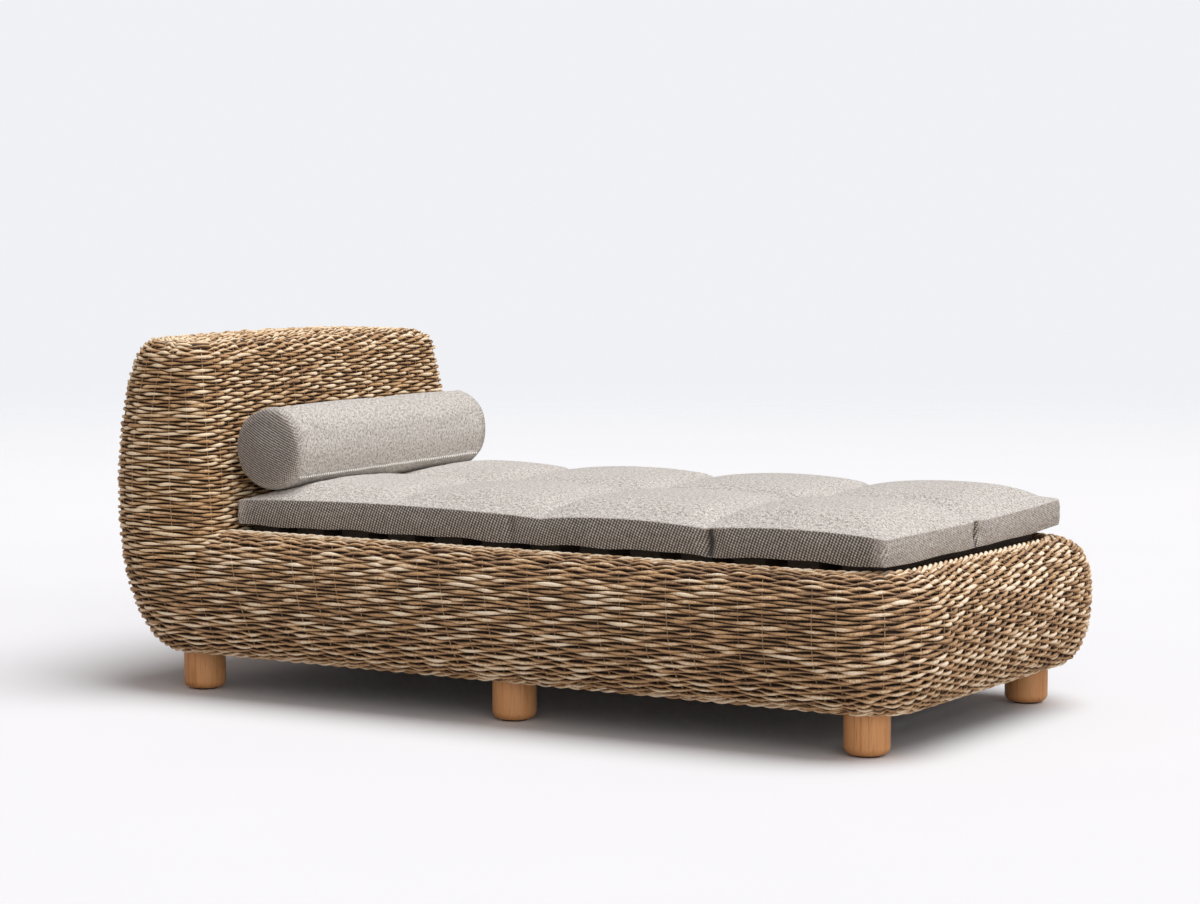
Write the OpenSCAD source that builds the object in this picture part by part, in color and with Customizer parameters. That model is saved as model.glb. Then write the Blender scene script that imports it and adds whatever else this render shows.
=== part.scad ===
// Woven sun lounger: a bulging rattan body on a hardwood frame, with a raked
// headboard, a slatted deck, six turned legs, a quilted mattress and a bolster.
// +X runs from the head to the foot, +Z is up, and the floor is at z = 0.
// Right is the -Y side and left is the +Y side.

/* [Body] */
// Length over the woven bulges at the head and the foot
body_l = 1980; // [1940:10:2080]
// Width over the woven bulges at the sides
body_w = 1020; // [1000:10:1100]
// Height of the widest line of the sides and the foot
belly_z = 242; // [226:2:252]
// Height of the crest where the weave ends under the mattress
rim_z = 355; // [345:5:375]
// Height at which the belly would run level underneath
skirt_z = 83; // [78:1:87]
// How far the belly draws in underneath
belly_in = 94; // [88:1:95]
// How far the sides draw in at the rim
rim_in = 75; // [66:1:78]
// Plan radius of the corners at the widest line
corner_r = 178; // [166:2:184]
// Thickness of the woven skin
weave_t = 14; // [10:1:16]
// Depth of the hollows between the raised stitches of the weave
stitch_relief = 5.5; // [4:0.5:6]
// Thickness of the rope along the rim
rim_rope_d = 22; // [16:1:22]
// Thickness of the rope along the lower edge
skirt_rope_d = 12; // [9:1:13]

/* [Headboard] */
// Height at the crown of the headboard
head_top_z = 765; // [710:5:820]
// Height at which the head end bulges most
head_bulge_z = 488; // [450:2:510]
// How far the head end draws in underneath
head_under = 176; // [170:2:190]
// How far the back draws in at the top
head_back = 84; // [60:4:110]
// Depth of the headboard at the rim
head_depth = 350; // [340:5:370]
// How far the front face leans back over its height
head_rake = 62; // [40:2:76]
// How far each side draws in over the height of the headboard
head_taper = 52; // [40:2:64]
// Height at which the headboard's weave starts on the sides and back
head_join_z = 290; // [280:2:296]
// Rounding of the top edges
head_edge_r = 36; // [30:1:42]
// Plan radius of the front corners
head_front_r = 60; // [54:2:70]
// Plan radius of the rear corners at the top
head_rear_r = 149; // [125:4:161]
// Rise of the top from its edges to its middle
head_crown = 12; // [6:1:16]

/* [Frame] */
// Width of the rails and posts
rail_w = 50; // [44:2:54]
// Height of the rails
rail_h = 45; // [40:1:48]
// Distance from the sides' bulge to the outer faces of the side rails
side_inset = 111; // [109:1:116]
// Distance from the foot's bulge to the outer faces of the foot rails
foot_inset = 125; // [120:1:132]
// Height of the underside of the lower rails
lower_z = 112; // [106:2:118]
// Setback of the upper head rail from the head end
head_rail_inset = 100; // [94:2:120]
// Cut across the foot corners of the upper rails
rail_corner_cut = 36; // [35:1:42]
// Thickness of the ribs
rib_t = 12; // [9:1:18]
// Number of ribs along each side
rib_count = 9; // [5:1:11]
// Thickness of the headboard's formers
former_t = 18; // [12:1:22]
// Distance of the outer formers from the middle
former_y = 298; // [250:4:306]
// Diameter of the poles through the formers
pole_d = 25; // [18:1:28]
// Diameter of the dowels in the posts
dowel_d = 8; // [6:1:10]
// Length of those dowels
dowel_l = 50; // [40:2:60]

/* [Deck] */
// Number of slats
slat_count = 13; // [9:1:16]
// Width of a slat
slat_w = 68; // [50:2:76]
// Thickness of a slat
slat_t = 20; // [16:1:22]

/* [Legs] */
// Diameter of a leg
leg_d = 90; // [80:2:94]
// Rounding of a leg's foot
leg_edge_r = 16; // [8:1:18]
// Diameter of the glide under a leg
glide_d = 52; // [40:2:54]
// Thickness of that glide
glide_t = 3; // [2:0.5:5]
// Diameter of the bolt that holds a leg
bolt_d = 8; // [6:1:9]
// Depth of that bolt in the leg
bolt_depth = 45; // [35:1:60]
// Thickness of the leg plates
plate_t = 3; // [2:0.5:4]

/* [Screws and brackets] */
// Shank diameter of the wood screws
screw_d = 4; // [3:0.5:5]
// Length of the screws in the slats
slat_screw_l = 38; // [30:1:42]
// Length of the screws in plates and brackets
short_screw_l = 22; // [16:1:28]
// Length of each arm of a corner bracket
bracket_l = 60; // [56:2:80]
// Height of a corner bracket
bracket_h = 30; // [20:1:36]
// Thickness of a corner bracket
bracket_t = 3; // [2:0.5:4]

/* [Mattress] */
// Length of the mattress
mattress_l = 1516; // [1440:4:1516]
// Width of the mattress
mattress_w = 834; // [790:2:850]
// Height of its boxed edge
edge_h = 56; // [48:1:64]
// Rise of the sewn channels above the edge
channel_rise = 28; // [20:1:34]
// Rise of each quilted panel above its channels
puff = 25; // [14:1:30]
// Panels along the mattress
panels_long = 4; // [3:1:5]
// How far a channel draws in the edge where it ends
notch = 8; // [4:1:9]
// Plan radius of the mattress's corners
mattress_corner_r = 55; // [40:5:70]
// Wall of the cover round its foam core
core_wall = 18; // [16:1:26]

/* [Bolster] */
// Diameter of the bolster
bolster_d = 176; // [150:2:186]
// Length of the bolster
bolster_l = 750; // [640:2:760]
// Distance of its middle from the lounger's middle line
bolster_off = -35; // [-35:5:35]
// Rounding of its ends
bolster_end_r = 30; // [20:1:34]
// Thickness of its cover
cover_t = 6; // [4:1:10]
// Thickness of the sewn seam along the bolster
seam_d = 7; // [5:1:8]
// How far that seam stands proud
seam_proud = 2.5; // [1.5:0.5:3]

/* [Zips] */
// Length of the mattress zip
mattress_zip_l = 560; // [400:10:640]
// Length of the bolster zip
bolster_zip_l = 520; // [400:10:560]
// Width of a zip's chain
zip_w = 6; // [5:0.5:8]
// Thickness of a zip's chain
zip_t = 1.5; // [1:0.1:2]
// Length of a zip's pull tab
tab_l = 16; // [12:1:18]

/* [Hidden] */
$fn = 48;

// Clearances: between soft or woven faces, in screw and dowel holes, and a cutting overrun
touch = 0.3;
bore_fit = 0.1;
over = 1;

// Half sizes of the body
half_l = body_l / 2;
half_w = body_w / 2;

// Exponents of the woven curves, steps round a corner, and how much a corner tightens for
// each millimetre that the sides draw in below and above the belly
belly_n = 2.3;
rim_n = 2.4;
head_n = 2.07;
corner_steps = 8;
low_share = 1.35;
high_share = 0.6;

// Stitches of the coarse weave along the straight runs that follow each corner, from the foot's
// right corner or the front's right corner round, and round each corner
side_stitches = 40;
end_stitches = 16;
base_runs = [end_stitches, side_stitches, end_stitches, side_stitches];
base_turns = [corner_steps, corner_steps, corner_steps, corner_steps];
head_runs = [20, 4, end_stitches, 4];
head_turns = [2, 2, corner_steps, corner_steps];

// Angles at which the woven sides are worked out, from the lower edge over the belly to the rim
skirt_a = -76;
rib_top_a = 66;
rib_angles = [-62, -48, -34, -18, 0, 18, 34, 50, rib_top_a];
base_angles = concat([skirt_a], rib_angles, [80, 90]);

// Frame levels and faces
rail_drop = 10;
upper_top = rim_z - rail_drop;
upper_z = upper_top - rail_h;
lower_top = lower_z + rail_h;
rail_out_y = half_w - side_inset;
rail_in_y = rail_out_y - rail_w;
foot_out_x = half_l - foot_inset;
foot_in_x = foot_out_x - rail_w;
leg_margin = 11;
leg_y = rail_out_y - rail_w / 2;
leg_foot_x = foot_out_x - rail_w / 2;
leg_head_x = -half_l + head_under + leg_margin + leg_d / 2;
leg_mid_x = (leg_foot_x + leg_head_x) / 2;
low_head_out_x = leg_head_x - rail_w / 2;
low_head_in_x = leg_head_x + rail_w / 2;
up_head_out_x = -half_l + head_rail_inset;
up_head_in_x = up_head_out_x + rail_w;
leg_xs = [leg_head_x, leg_mid_x, leg_foot_x];
leg_points = [for (x = leg_xs) for (side = [-1, 1]) [x, side * leg_y]];
leg_top = lower_z - plate_t;

// Headboard front wall and the sill rail behind its foot
head_face_x = -half_l + head_depth;
wall_lift = 2;
head_front_z = upper_top + wall_lift;
head_shoulder_z = head_top_z - head_crown;
sill_in_x = head_face_x - weave_t - 1;
sill_out_x = sill_in_x - rail_w;
former_gap = 2;
pole_wall = 10;
pole_overhang = 15;
former_ys = [-former_y, 0, former_y];

// Ribs
rib_first_x = head_face_x + 25;
rib_last_x = foot_out_x - 125;
cross_rib_ys = [-rail_in_y * 0.68, 0, rail_in_y * 0.68];
rib_facet_gap = 1.5;

// Deck
slat_end_gap = 14;
slat_rest = 22;
slat_half = rail_in_y + slat_rest;
slat_screw_y = rail_in_y + slat_rest / 2;
slat_first_x = head_face_x + slat_end_gap + slat_w / 2;
slat_last_x = foot_out_x - slat_end_gap - slat_w / 2;
slat_pitch = (slat_last_x - slat_first_x) / (slat_count - 1);
slat_xs = [for (i = [0 : slat_count - 1]) slat_first_x + i * slat_pitch];
deck_z = upper_top + slat_t;

// Screw heads, leg plates and their threaded bushes
screw_head_d = 2 * screw_d;
screw_head_h = 2;
bracket_screw_at = [20, 45];
plate_w = rail_w - 6;
plate_screw_at = plate_w / 2 - 6;
bush_d = bolt_d + 6;
bush_h = 12;

// Mattress
mat_z = deck_z + touch;
head_gap = 11;
mat_x0 = head_face_x + head_gap;
mat_half = mattress_w / 2;
edge_z = mat_z + edge_h;
shoulder_l = 115;
shoulder_n = 2.2;
head_cols = 12;
panel_cols = 8;
panel_rows = 8;
channel_bias = 0.11;
channel_n = 0.62;
seam_in = 5;
notch_w = 22;
ring_levels = [0, 0.12, 0.5, 0.88];
core_floor = 8;
core_lid = 4;

// Bolster, laid in a hollow of the mattress and against the headboard
bolster_r = bolster_d / 2;
bolster_rest = 19;
bolster_z = edge_z + bolster_rest + bolster_r;
bolster_back_gap = 9;
bolster_x = head_front(bolster_z) + bolster_back_gap + bolster_r;
hollow_gap = 3;
hollow_r = bolster_r + hollow_gap;
seam_a = -42;
seam_margin = 5;
bolster_zip_a = 215;

// Zip sliders
slider_l = 12;
slider_t = 3;
tab_w = 5;
tab_t = 1.5;

// A quarter of a superellipse, from 0 at t = 0 to 1 at t = 1
function quarter(t, n) = 1 - pow(max(0, 1 - pow(max(0, min(1, t)), n)), 1 / n);

// Height and draw of the sides at an angle, t inside the outer surface
function level_z(a, t) =
    belly_z + ((a < 0 ? belly_z - skirt_z : rim_z - belly_z) - t) * sin(a);
function level_in(a, t) =
    let (reach = a < 0 ? belly_in : rim_in, n = a < 0 ? belly_n : rim_n)
    reach - (reach - t) * (1 - quarter(abs(sin(a)), n));

// Plan radius of the base's corners at an angle, t inside the outer surface
function corner_at(a, t) =
    corner_r - (a < 0 ? low_share : high_share) * (level_in(a, t) - t) - t;

// How far the sides lie inside the bulge at a height above the belly
function rim_draw(z) = rim_in * quarter((z - belly_z) / (rim_z - belly_z), rim_n);

// How far the head end lies inside its bulge at a height
function head_in(z) =
    z < head_bulge_z
        ? head_under * quarter((head_bulge_z - z) / (head_bulge_z - skirt_z), head_n)
        : head_back * quarter((z - head_bulge_z) / (head_top_z - head_bulge_z), 2);

// How far the rounding of the headboard's top edges draws in at a height
function edge_in(z) =
    let (start = head_shoulder_z - head_edge_r)
    z < start ? 0 : head_edge_r * quarter((z - start) / head_edge_r, 2);
function edge_share(z) = edge_in(z) / head_edge_r;

// Half width, front face and rear corner radius of the headboard at a height
function head_share(z) = (z - head_join_z) / (head_top_z - head_join_z);
function head_half(z) =
    half_w - rim_draw(head_join_z) - head_taper * head_share(z) - edge_in(z);
function head_front(z) =
    head_face_x - head_rake * (z - rim_z) / (head_top_z - rim_z) - edge_in(z);
function head_corner(z) =
    let (start = corner_r - high_share * rim_draw(head_join_z))
    start + (head_rear_r - start) * head_share(z) - edge_in(z) / 2;

// A point of a corner [x, y, radius, first angle] after i steps
function arc_point(corner, i) =
    let (a = corner[3] + 90 * i / corner_steps)
    [corner[0] + corner[2] * cos(a), corner[1] + corner[2] * sin(a)];

// A ring of points at a height round a plan with round corners, counter-clockwise from above,
// starting at the foot's right corner, with its straight runs in equal steps
function ring(x_head, x_foot, half, r_head, r_foot, z, runs) =
    let (corners = [
        [x_foot - r_foot, -half + r_foot, r_foot, -90],
        [x_foot - r_foot, half - r_foot, r_foot, 0],
        [x_head + r_head, half - r_head, r_head, 90],
        [x_head + r_head, -half + r_head, r_head, 180]
    ])
    [
        for (j = [0 : 3])
            let (
                from = arc_point(corners[j], corner_steps),
                to = arc_point(corners[(j + 1) % 4], 0)
            )
            each [
                for (i = [0 : corner_steps + runs[j] - 1])
                    let (
                        p = i <= corner_steps
                            ? arc_point(corners[j], i)
                            : from + (to - from) * (i - corner_steps) / runs[j]
                    )
                    [p[0], p[1], z]
            ]
    ];

// For each point of a ring, the stitches passed before it
function stitch_counts(turns, runs) = [
    for (j = [0 : 3])
        let (before = j == 0 ? 0 : sum_to(turns, j) + sum_to(runs, j))
        each [
            for (i = [0 : corner_steps + runs[j] - 1])
                before + (i <= corner_steps
                    ? turns[j] * i / corner_steps
                    : turns[j] + i - corner_steps)
        ]
];
function sum_to(list, n) = n == 0 ? 0 : list[n - 1] + sum_to(list, n - 1);

// A row of raised stitches: points of the outer ring, drawn towards the inner one where the
// strand dips, a stitch further on from row to row
function raised(outer, inner, row, counts) = [
    for (j = [0 : len(outer) - 1])
        outer[j] + (inner[j] - outer[j]) * stitch_relief / weave_t * dip(counts[j] + row)
];
function dip(n) = (1 - cos(180 * n)) / 2;

// The base's ring at an angle over the belly, t inside the outer surface
function base_ring(a, t) =
    let (inset = level_in(a, t), r = corner_at(a, t))
    ring(
        -half_l + head_in(level_z(a, 0)) + t, half_l - inset, half_w - inset,
        r, r, level_z(a, t), base_runs
    );

// The headboard's ring at a height, t inside the outer surface
function head_ring(z, t) =
    ring(
        -half_l + head_in(z) + t, head_front(z) - t, head_half(z) - t,
        head_corner(z) - t, head_front_r - t, z, head_runs
    );

// Share of the front wall in each point of a ring: 1 on the front face, 0 on the sides and back
front_shares = [
    for (j = [0 : 3])
        each [
            for (i = [0 : corner_steps + head_runs[j] - 1])
                let (a = 90 * min(i, corner_steps) / corner_steps)
                j == 0 ? sin(a) : j == 1 ? cos(a) : 0
        ]
];

// The headboard's lower edge, which climbs at the front corners to clear the deck
function head_foot_ring(drop, t) =
    let (low = head_ring(head_join_z, t), high = head_ring(head_front_z, t))
    [
        for (i = [0 : len(low) - 1])
            let (s = front_shares[i], p = low[i] + (high[i] - low[i]) * s)
            [p[0], p[1], head_join_z + (head_front_z - head_join_z) * s - drop]
    ];

// Heights of the headboard's rings, closer together over the rounded top edge
head_wall_steps = 10;
head_wall_z = head_front_z + 25;
head_round_z = head_shoulder_z - head_edge_r;
head_levels = concat(
    [for (i = [0 : head_wall_steps - 1])
        head_wall_z + (head_round_z - head_wall_z) * i / head_wall_steps],
    [for (a = [0, 25, 45, 62, 76, 88]) head_round_z + head_edge_r * sin(a)]
);

// Faces between rows of points that each close on themselves; the last row may join the first.
// Each pair of triangles meets along the line between two dips, so that every stitch stands up.
function band_faces(rows, cols, close) = [
    for (r = [0 : rows - (close ? 1 : 2)])
        for (c = [0 : cols - 1])
            let (
                a = r * cols + c,
                b = ((r + 1) % rows) * cols + c,
                d = r * cols + (c + 1) % cols,
                e = ((r + 1) % rows) * cols + (c + 1) % cols
            )
            each (r + c) % 2 == 0 ? [[a, b, d], [b, e, d]] : [[a, b, e], [a, e, d]]
];

// Faces from one row to a point below it or above it
function fan_faces(row, cols, point, above) = [
    for (c = [0 : cols - 1])
        let (a = row * cols + c, b = row * cols + (c + 1) % cols)
        above ? [point, b, a] : [point, a, b]
];

function flat(rows) = [for (row = rows) each row];

// A skin whose rows run up its outside and down its inside
module tube_skin(rows) {
    polyhedron(
        points = flat(rows),
        faces = band_faces(len(rows), len(rows[0]), true),
        convexity = 8
    );
}

// A skin whose rows run from one closing point to another
module capped_skin(rows, first, last) {
    cols = len(rows[0]);
    count = len(rows) * cols;
    polyhedron(
        points = concat(flat(rows), [first, last]),
        faces = concat(
            band_faces(len(rows), cols, false),
            fan_faces(0, cols, count, false),
            fan_faces(len(rows) - 1, cols, count + 1, true)
        ),
        convexity = 8
    );
}

// The space of the headboard's foot, taken out of the base's skin: its own outline with
// the round front corners, and behind them everything above the join
module headboard_seat() {
    middle_x = head_face_x - head_depth / 2;
    join = head_join_z - touch;
    capped_skin(
        [
            head_foot_ring(touch, weave_t + touch),
            head_foot_ring(touch, -touch),
            head_ring(head_wall_z, -touch)
        ],
        [middle_x, 0, join],
        [middle_x, 0, head_wall_z]
    );
    translate([-half_l - over, -half_w, join])
        cube([head_depth - head_front_r + over, body_w, rim_z - join + over]);
}

module base_weave() {
    last = len(base_angles) - 1;
    counts = stitch_counts(base_turns, base_runs);
    outer = [for (a = base_angles) base_ring(a, 0)];
    inner = [for (a = base_angles) base_ring(a, weave_t)];
    rows = concat(
        [outer[0]],
        [for (i = [1 : last - 1]) raised(outer[i], inner[i], i, counts)],
        [outer[last]],
        [for (i = [last : -1 : 0]) inner[i]]
    );
    color("#a98b62")
        difference() {
            tube_skin(rows);
            headboard_seat();
        }
}

module headboard_weave() {
    last = len(head_levels) - 1;
    counts = stitch_counts(head_turns, head_runs);
    inner = [
        for (z = head_levels)
            [for (p = head_ring(z, weave_t)) [p[0], p[1], p[2] - weave_t * edge_share(z)]]
    ];
    outer = [for (z = head_levels) head_ring(z, 0)];
    foot_in = head_foot_ring(0, weave_t);
    foot_out = head_foot_ring(0, 0);
    middle = [(head_front(head_shoulder_z) - half_l + head_back) / 2, 0, head_top_z];
    color("#bb9a68")
        capped_skin(
            concat(
                [for (i = [last : -1 : 0]) inner[i]],
                [foot_in, foot_out],
                [raised((foot_out + outer[0]) / 2, (foot_in + inner[0]) / 2, 0, counts)],
                [for (i = [0 : last])
                    i <= head_wall_steps
                        ? raised(outer[i], inner[i], i + 1, counts)
                        : outer[i]]
            ),
            middle - [0, 0, weave_t],
            middle
        );
}

// A round bar along X from x0 to x1 at y and z
module bar_x(x0, x1, y, z, d) {
    translate([x0, y, z])
        rotate([0, 90, 0])
            cylinder(d = d, h = x1 - x0);
}

// A round bar along Y, centred on y, at x and z
module bar_y(x, y, z, d, l) {
    translate([x, y + l / 2, z])
        rotate([90, 0, 0])
            cylinder(d = d, h = l);
}

// A quarter of a ring of rope round a corner's centre, starting at angle a
module rope_corner(x, y, z, r, d, a) {
    translate([x, y, z])
        rotate([0, 0, a])
            rotate_extrude(angle = 90)
                translate([r, 0])
                    circle(d = d);
}

// A length to a tenth of a millimetre, so that stretches of rope meet exactly
function tenth(l) = round(10 * l) / 10;

// Rope along the inner edge of the rim, from the headboard round the foot and back, clear of
// the flat facets of the skin's round corners
module rim_rope() {
    facet_sag = corner_at(90, 0) * (1 - cos(45 / corner_steps));
    inset = rim_in + rim_rope_d / 2 + touch / 2 + facet_sag;
    r = tenth(corner_at(90, 0) - rim_rope_d / 2 - facet_sag);
    y = tenth(half_w - inset);
    x = tenth(half_l - inset);
    z = rim_z - weave_t / 2;
    start_x = tenth(head_front(head_front_z) + 2 * touch);
    color("#8f7048")
        union() {
            for (side = [-1, 1])
                bar_x(start_x, x - r, side * y, z, rim_rope_d);
            bar_y(x, 0, z, rim_rope_d, 2 * (y - r));
            rope_corner(x - r, -y + r, z, r, rim_rope_d, -90);
            rope_corner(x - r, y - r, z, r, rim_rope_d, 0);
        }
}

// Rope against the inside of the skin's lower edge, closed all the way round
module skirt_rope() {
    gap = skirt_rope_d / 2 + 2 * touch;
    lip = level_in(skirt_a, weave_t);
    r = tenth(corner_at(skirt_a, weave_t) - gap);
    y = tenth(half_w - lip - gap);
    x1 = tenth(half_l - lip - gap);
    x0 = tenth(-half_l + head_in(level_z(skirt_a, 0)) + weave_t + gap);
    z = level_z(skirt_a, weave_t);
    color("#7d613e")
        union() {
            for (side = [-1, 1])
                bar_x(x0 + r, x1 - r, side * y, z, skirt_rope_d);
            for (x = [x0, x1])
                bar_y(x, 0, z, skirt_rope_d, 2 * (y - r));
            rope_corner(x1 - r, -y + r, z, r, skirt_rope_d, -90);
            rope_corner(x1 - r, y - r, z, r, skirt_rope_d, 0);
            rope_corner(x0 + r, y - r, z, r, skirt_rope_d, 90);
            rope_corner(x0 + r, -y + r, z, r, skirt_rope_d, 180);
        }
}

// A screw along Z whose head sits on z = 0, or the hole for it
module wood_screw(l) {
    translate([0, 0, -l])
        cylinder(d = screw_d, h = l + screw_head_h / 2);
    cylinder(d = screw_head_d, h = screw_head_h);
}
module wood_screw_hole(l) {
    translate([0, 0, -l - bore_fit])
        cylinder(d = screw_d + 2 * bore_fit, h = l + 2 * bore_fit);
    cylinder(d = screw_head_d + 2 * bore_fit, h = screw_head_h + over);
}

// Places of the brackets: inner corner x and side, way along the side rail, and level
bracket_spots = [
    for (side = [-1, 1])
        for (spot = [
            [low_head_in_x, 1, lower_z],
            [leg_mid_x + rail_w / 2, 1, lower_z],
            [foot_in_x, -1, lower_z],
            [up_head_in_x, 1, upper_z],
            [sill_in_x, 1, upper_z],
            [foot_in_x, -1, upper_z]
        ])
            [spot[0], side, spot[1], spot[2] + rail_h / 2]
];

// Children drawn with x along the side rail and y along the cross rail, for one bracket
module at_bracket(spot) {
    translate([spot[0], spot[1] * rail_in_y, spot[3]])
        mirror([spot[2] < 0 ? 1 : 0, 0, 0])
            mirror([0, spot[1] > 0 ? 1 : 0, 0])
                children();
}

// Children drawn as a screw along Z, for each screw of one bracket
module at_bracket_screws() {
    for (d = bracket_screw_at) {
        translate([d, bracket_t, 0])
            rotate([-90, 0, 0])
                children();
        translate([bracket_t, d, 0])
            rotate([0, 90, 0])
                children();
    }
}

module corner_brackets() {
    color("#9a9c9f")
        for (spot = bracket_spots)
            at_bracket(spot)
                difference() {
                    translate([0, 0, -bracket_h / 2])
                        union() {
                            cube([bracket_l, bracket_t, bracket_h]);
                            cube([bracket_t, bracket_l, bracket_h]);
                        }
                    at_bracket_screws() wood_screw_hole(short_screw_l);
                }
}

module bracket_screws() {
    color("#c2c4c6")
        for (spot = bracket_spots)
            at_bracket(spot)
                at_bracket_screws() wood_screw(short_screw_l);
}

// Holes in the rails at one level, on the sides given
module bracket_holes(level, sides) {
    for (spot = bracket_spots)
        if (spot[3] == level + rail_h / 2 && len([for (s = sides) if (s == spot[1]) s]) > 0)
            at_bracket(spot)
                at_bracket_screws() wood_screw_hole(short_screw_l);
}

// Dowel holes at the posts' ends on the sides given
module dowel_holes(sides) {
    for (p = leg_points)
        if (len([for (s = sides) if (s * p[1] > 0) s]) > 0)
            for (z = [lower_top, upper_z])
                translate([p[0], p[1], z - dowel_l / 2 - bore_fit])
                    cylinder(d = dowel_d + 2 * bore_fit, h = dowel_l + 2 * bore_fit);
}

// Screws or holes of the leg plates, drawn as screws along Z, heads down
module at_plate_screws(p) {
    for (dx = [-1, 1])
        for (dy = [-1, 1])
            translate([
                p[0] + dx * plate_screw_at, p[1] + dy * plate_screw_at, leg_top + screw_head_h
            ])
                rotate([180, 0, 0])
                    children();
}

module lower_side_rail(side) {
    color("#c9a877")
        difference() {
            translate([low_head_out_x, side > 0 ? rail_in_y : -rail_out_y, lower_z])
                cube([foot_out_x - low_head_out_x, rail_w, rail_h]);
            bracket_holes(lower_z, [side]);
            dowel_holes([side]);
            for (p = leg_points)
                if (p[1] * side > 0) {
                    translate([p[0], p[1], lower_z - over])
                        cylinder(d = bush_d + 2 * bore_fit, h = bush_h + over + bore_fit);
                    at_plate_screws(p) wood_screw_hole(short_screw_l);
                }
        }
}

// A rail across the frame from x, between the side rails
module cross_rail(x, z) {
    color("#c9a877")
        difference() {
            translate([x, -rail_in_y, z])
                cube([rail_w, 2 * rail_in_y, rail_h]);
            bracket_holes(z, [-1, 1]);
            if (z == upper_z)
                slat_screw_holes();
        }
}

// Screws of the slats: one at each end and one over the spine
module at_slat_screws() {
    for (x = slat_xs)
        for (y = [-slat_screw_y, 0, slat_screw_y])
            translate([x, y, deck_z - screw_head_h])
                children();
}
module slat_screw_holes() {
    at_slat_screws() wood_screw_hole(slat_screw_l);
}

module upper_side_rail(side) {
    cut = rail_corner_cut;
    color("#c9a877")
        difference() {
            mirror([0, side > 0 ? 0 : 1, 0])
                translate([0, 0, upper_z])
                    linear_extrude(rail_h)
                        polygon([
                            [up_head_out_x, rail_in_y], [foot_out_x, rail_in_y],
                            [foot_out_x, rail_out_y - cut], [foot_out_x - cut, rail_out_y],
                            [up_head_out_x, rail_out_y]
                        ]);
            bracket_holes(upper_z, [side]);
            dowel_holes([side]);
            slat_screw_holes();
        }
}

module spine_beam() {
    color("#c9a877")
        difference() {
            translate([sill_in_x, -rail_w / 2, upper_z])
                cube([foot_in_x - sill_in_x, rail_w, rail_h]);
            slat_screw_holes();
        }
}

module spine_support() {
    color("#c9a877")
        translate([leg_mid_x - rail_w / 2, -rail_in_y, upper_z - rail_h])
            cube([rail_w, 2 * rail_in_y, rail_h]);
}

module frame_posts() {
    color("#bf9d6c")
        difference() {
            for (p = leg_points)
                translate([p[0] - rail_w / 2, p[1] - rail_w / 2, lower_top])
                    cube([rail_w, rail_w, upper_z - lower_top]);
            dowel_holes([-1, 1]);
        }
}

module post_dowels() {
    color("#d8bd8e")
        for (p = leg_points)
            for (z = [lower_top, upper_z])
                translate([p[0], p[1], z - dowel_l / 2])
                    cylinder(d = dowel_d, h = dowel_l);
}

// A rib between the rails and the skin, with the body's half size and the rails' outer face
module rib(half, rail_face) {
    inside = weave_t + touch;
    linear_extrude(rib_t, center = true)
        polygon(concat(
            [[rail_face, lower_z]],
            [for (a = rib_angles) [half - level_in(a, inside), level_z(a, inside)]],
            [[rail_face, level_z(rib_top_a, inside)]]
        ));
}

module side_ribs(side) {
    pitch = (rib_last_x - rib_first_x) / (rib_count - 1);
    color("#d3b98f")
        mirror([0, side > 0 ? 0 : 1, 0])
            for (i = [0 : rib_count - 1])
                translate([rib_first_x + i * pitch, 0, 0])
                    rotate([90, 0, 90])
                        rib(half_w, rail_out_y);
}

// Reach of a corner rib from the frame's corner, along a line at 45 degrees to the skin's
// round corner; u and v are the frame's corner seen from the round corner's centre
function corner_reach(a) =
    let (
        inset = level_in(a, weave_t),
        r = corner_at(a, weave_t),
        u = inset + r - foot_inset,
        v = inset + r - side_inset,
        skin = r - rib_facet_gap
    )
    sqrt(skin * skin - (u - v) * (u - v) / 2) - (u + v) / sqrt(2);

module foot_ribs() {
    inside = weave_t + touch;
    color("#d3b98f")
        union() {
            for (y = cross_rib_ys)
                translate([0, y, 0])
                    rotate([90, 0, 0])
                        rib(half_l, foot_out_x);
            for (side = [-1, 1])
                translate([foot_out_x, side * rail_out_y, 0])
                    rotate([90, 0, side * 45])
                        linear_extrude(rib_t, center = true)
                            polygon(concat(
                                [[0, level_z(rib_angles[0], inside)]],
                                [for (a = rib_angles) [corner_reach(a), level_z(a, inside)]],
                                [[0, level_z(rib_top_a, inside)]]
                            ));
        }
}

module head_ribs() {
    inside = weave_t + touch;
    low_angles = [
        for (a = rib_angles) if (level_z(a, inside) < head_join_z - rib_t) a
    ];
    color("#d3b98f")
        for (y = cross_rib_ys)
            translate([0, y, 0])
                rotate([90, 0, 0])
                    linear_extrude(rib_t, center = true)
                        polygon(concat(
                            [[low_head_out_x, lower_z]],
                            [for (a = low_angles)
                                [-half_l + head_in(level_z(a, 0)) + inside, level_z(a, inside)]],
                            [
                                [up_head_out_x, upper_z], [up_head_in_x, upper_z],
                                [low_head_out_x, lower_top]
                            ]
                        ));
}

// Centre of a pole that lies against the front or the back wall, at a height
pole_setback = weave_t + former_gap + pole_wall + pole_d / 2;
function pole_front(z) = [head_front(z) - pole_setback, z];
function pole_back(z) = [-half_l + head_in(z) + pole_setback, z];
top_pole_z = head_round_z - pole_d / 2;
pole_points = [
    pole_front(top_pole_z),
    pole_back(top_pole_z) + [pole_wall, 0],
    pole_front((head_wall_z + top_pole_z) / 2),
    pole_back(head_bulge_z)
];

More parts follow.
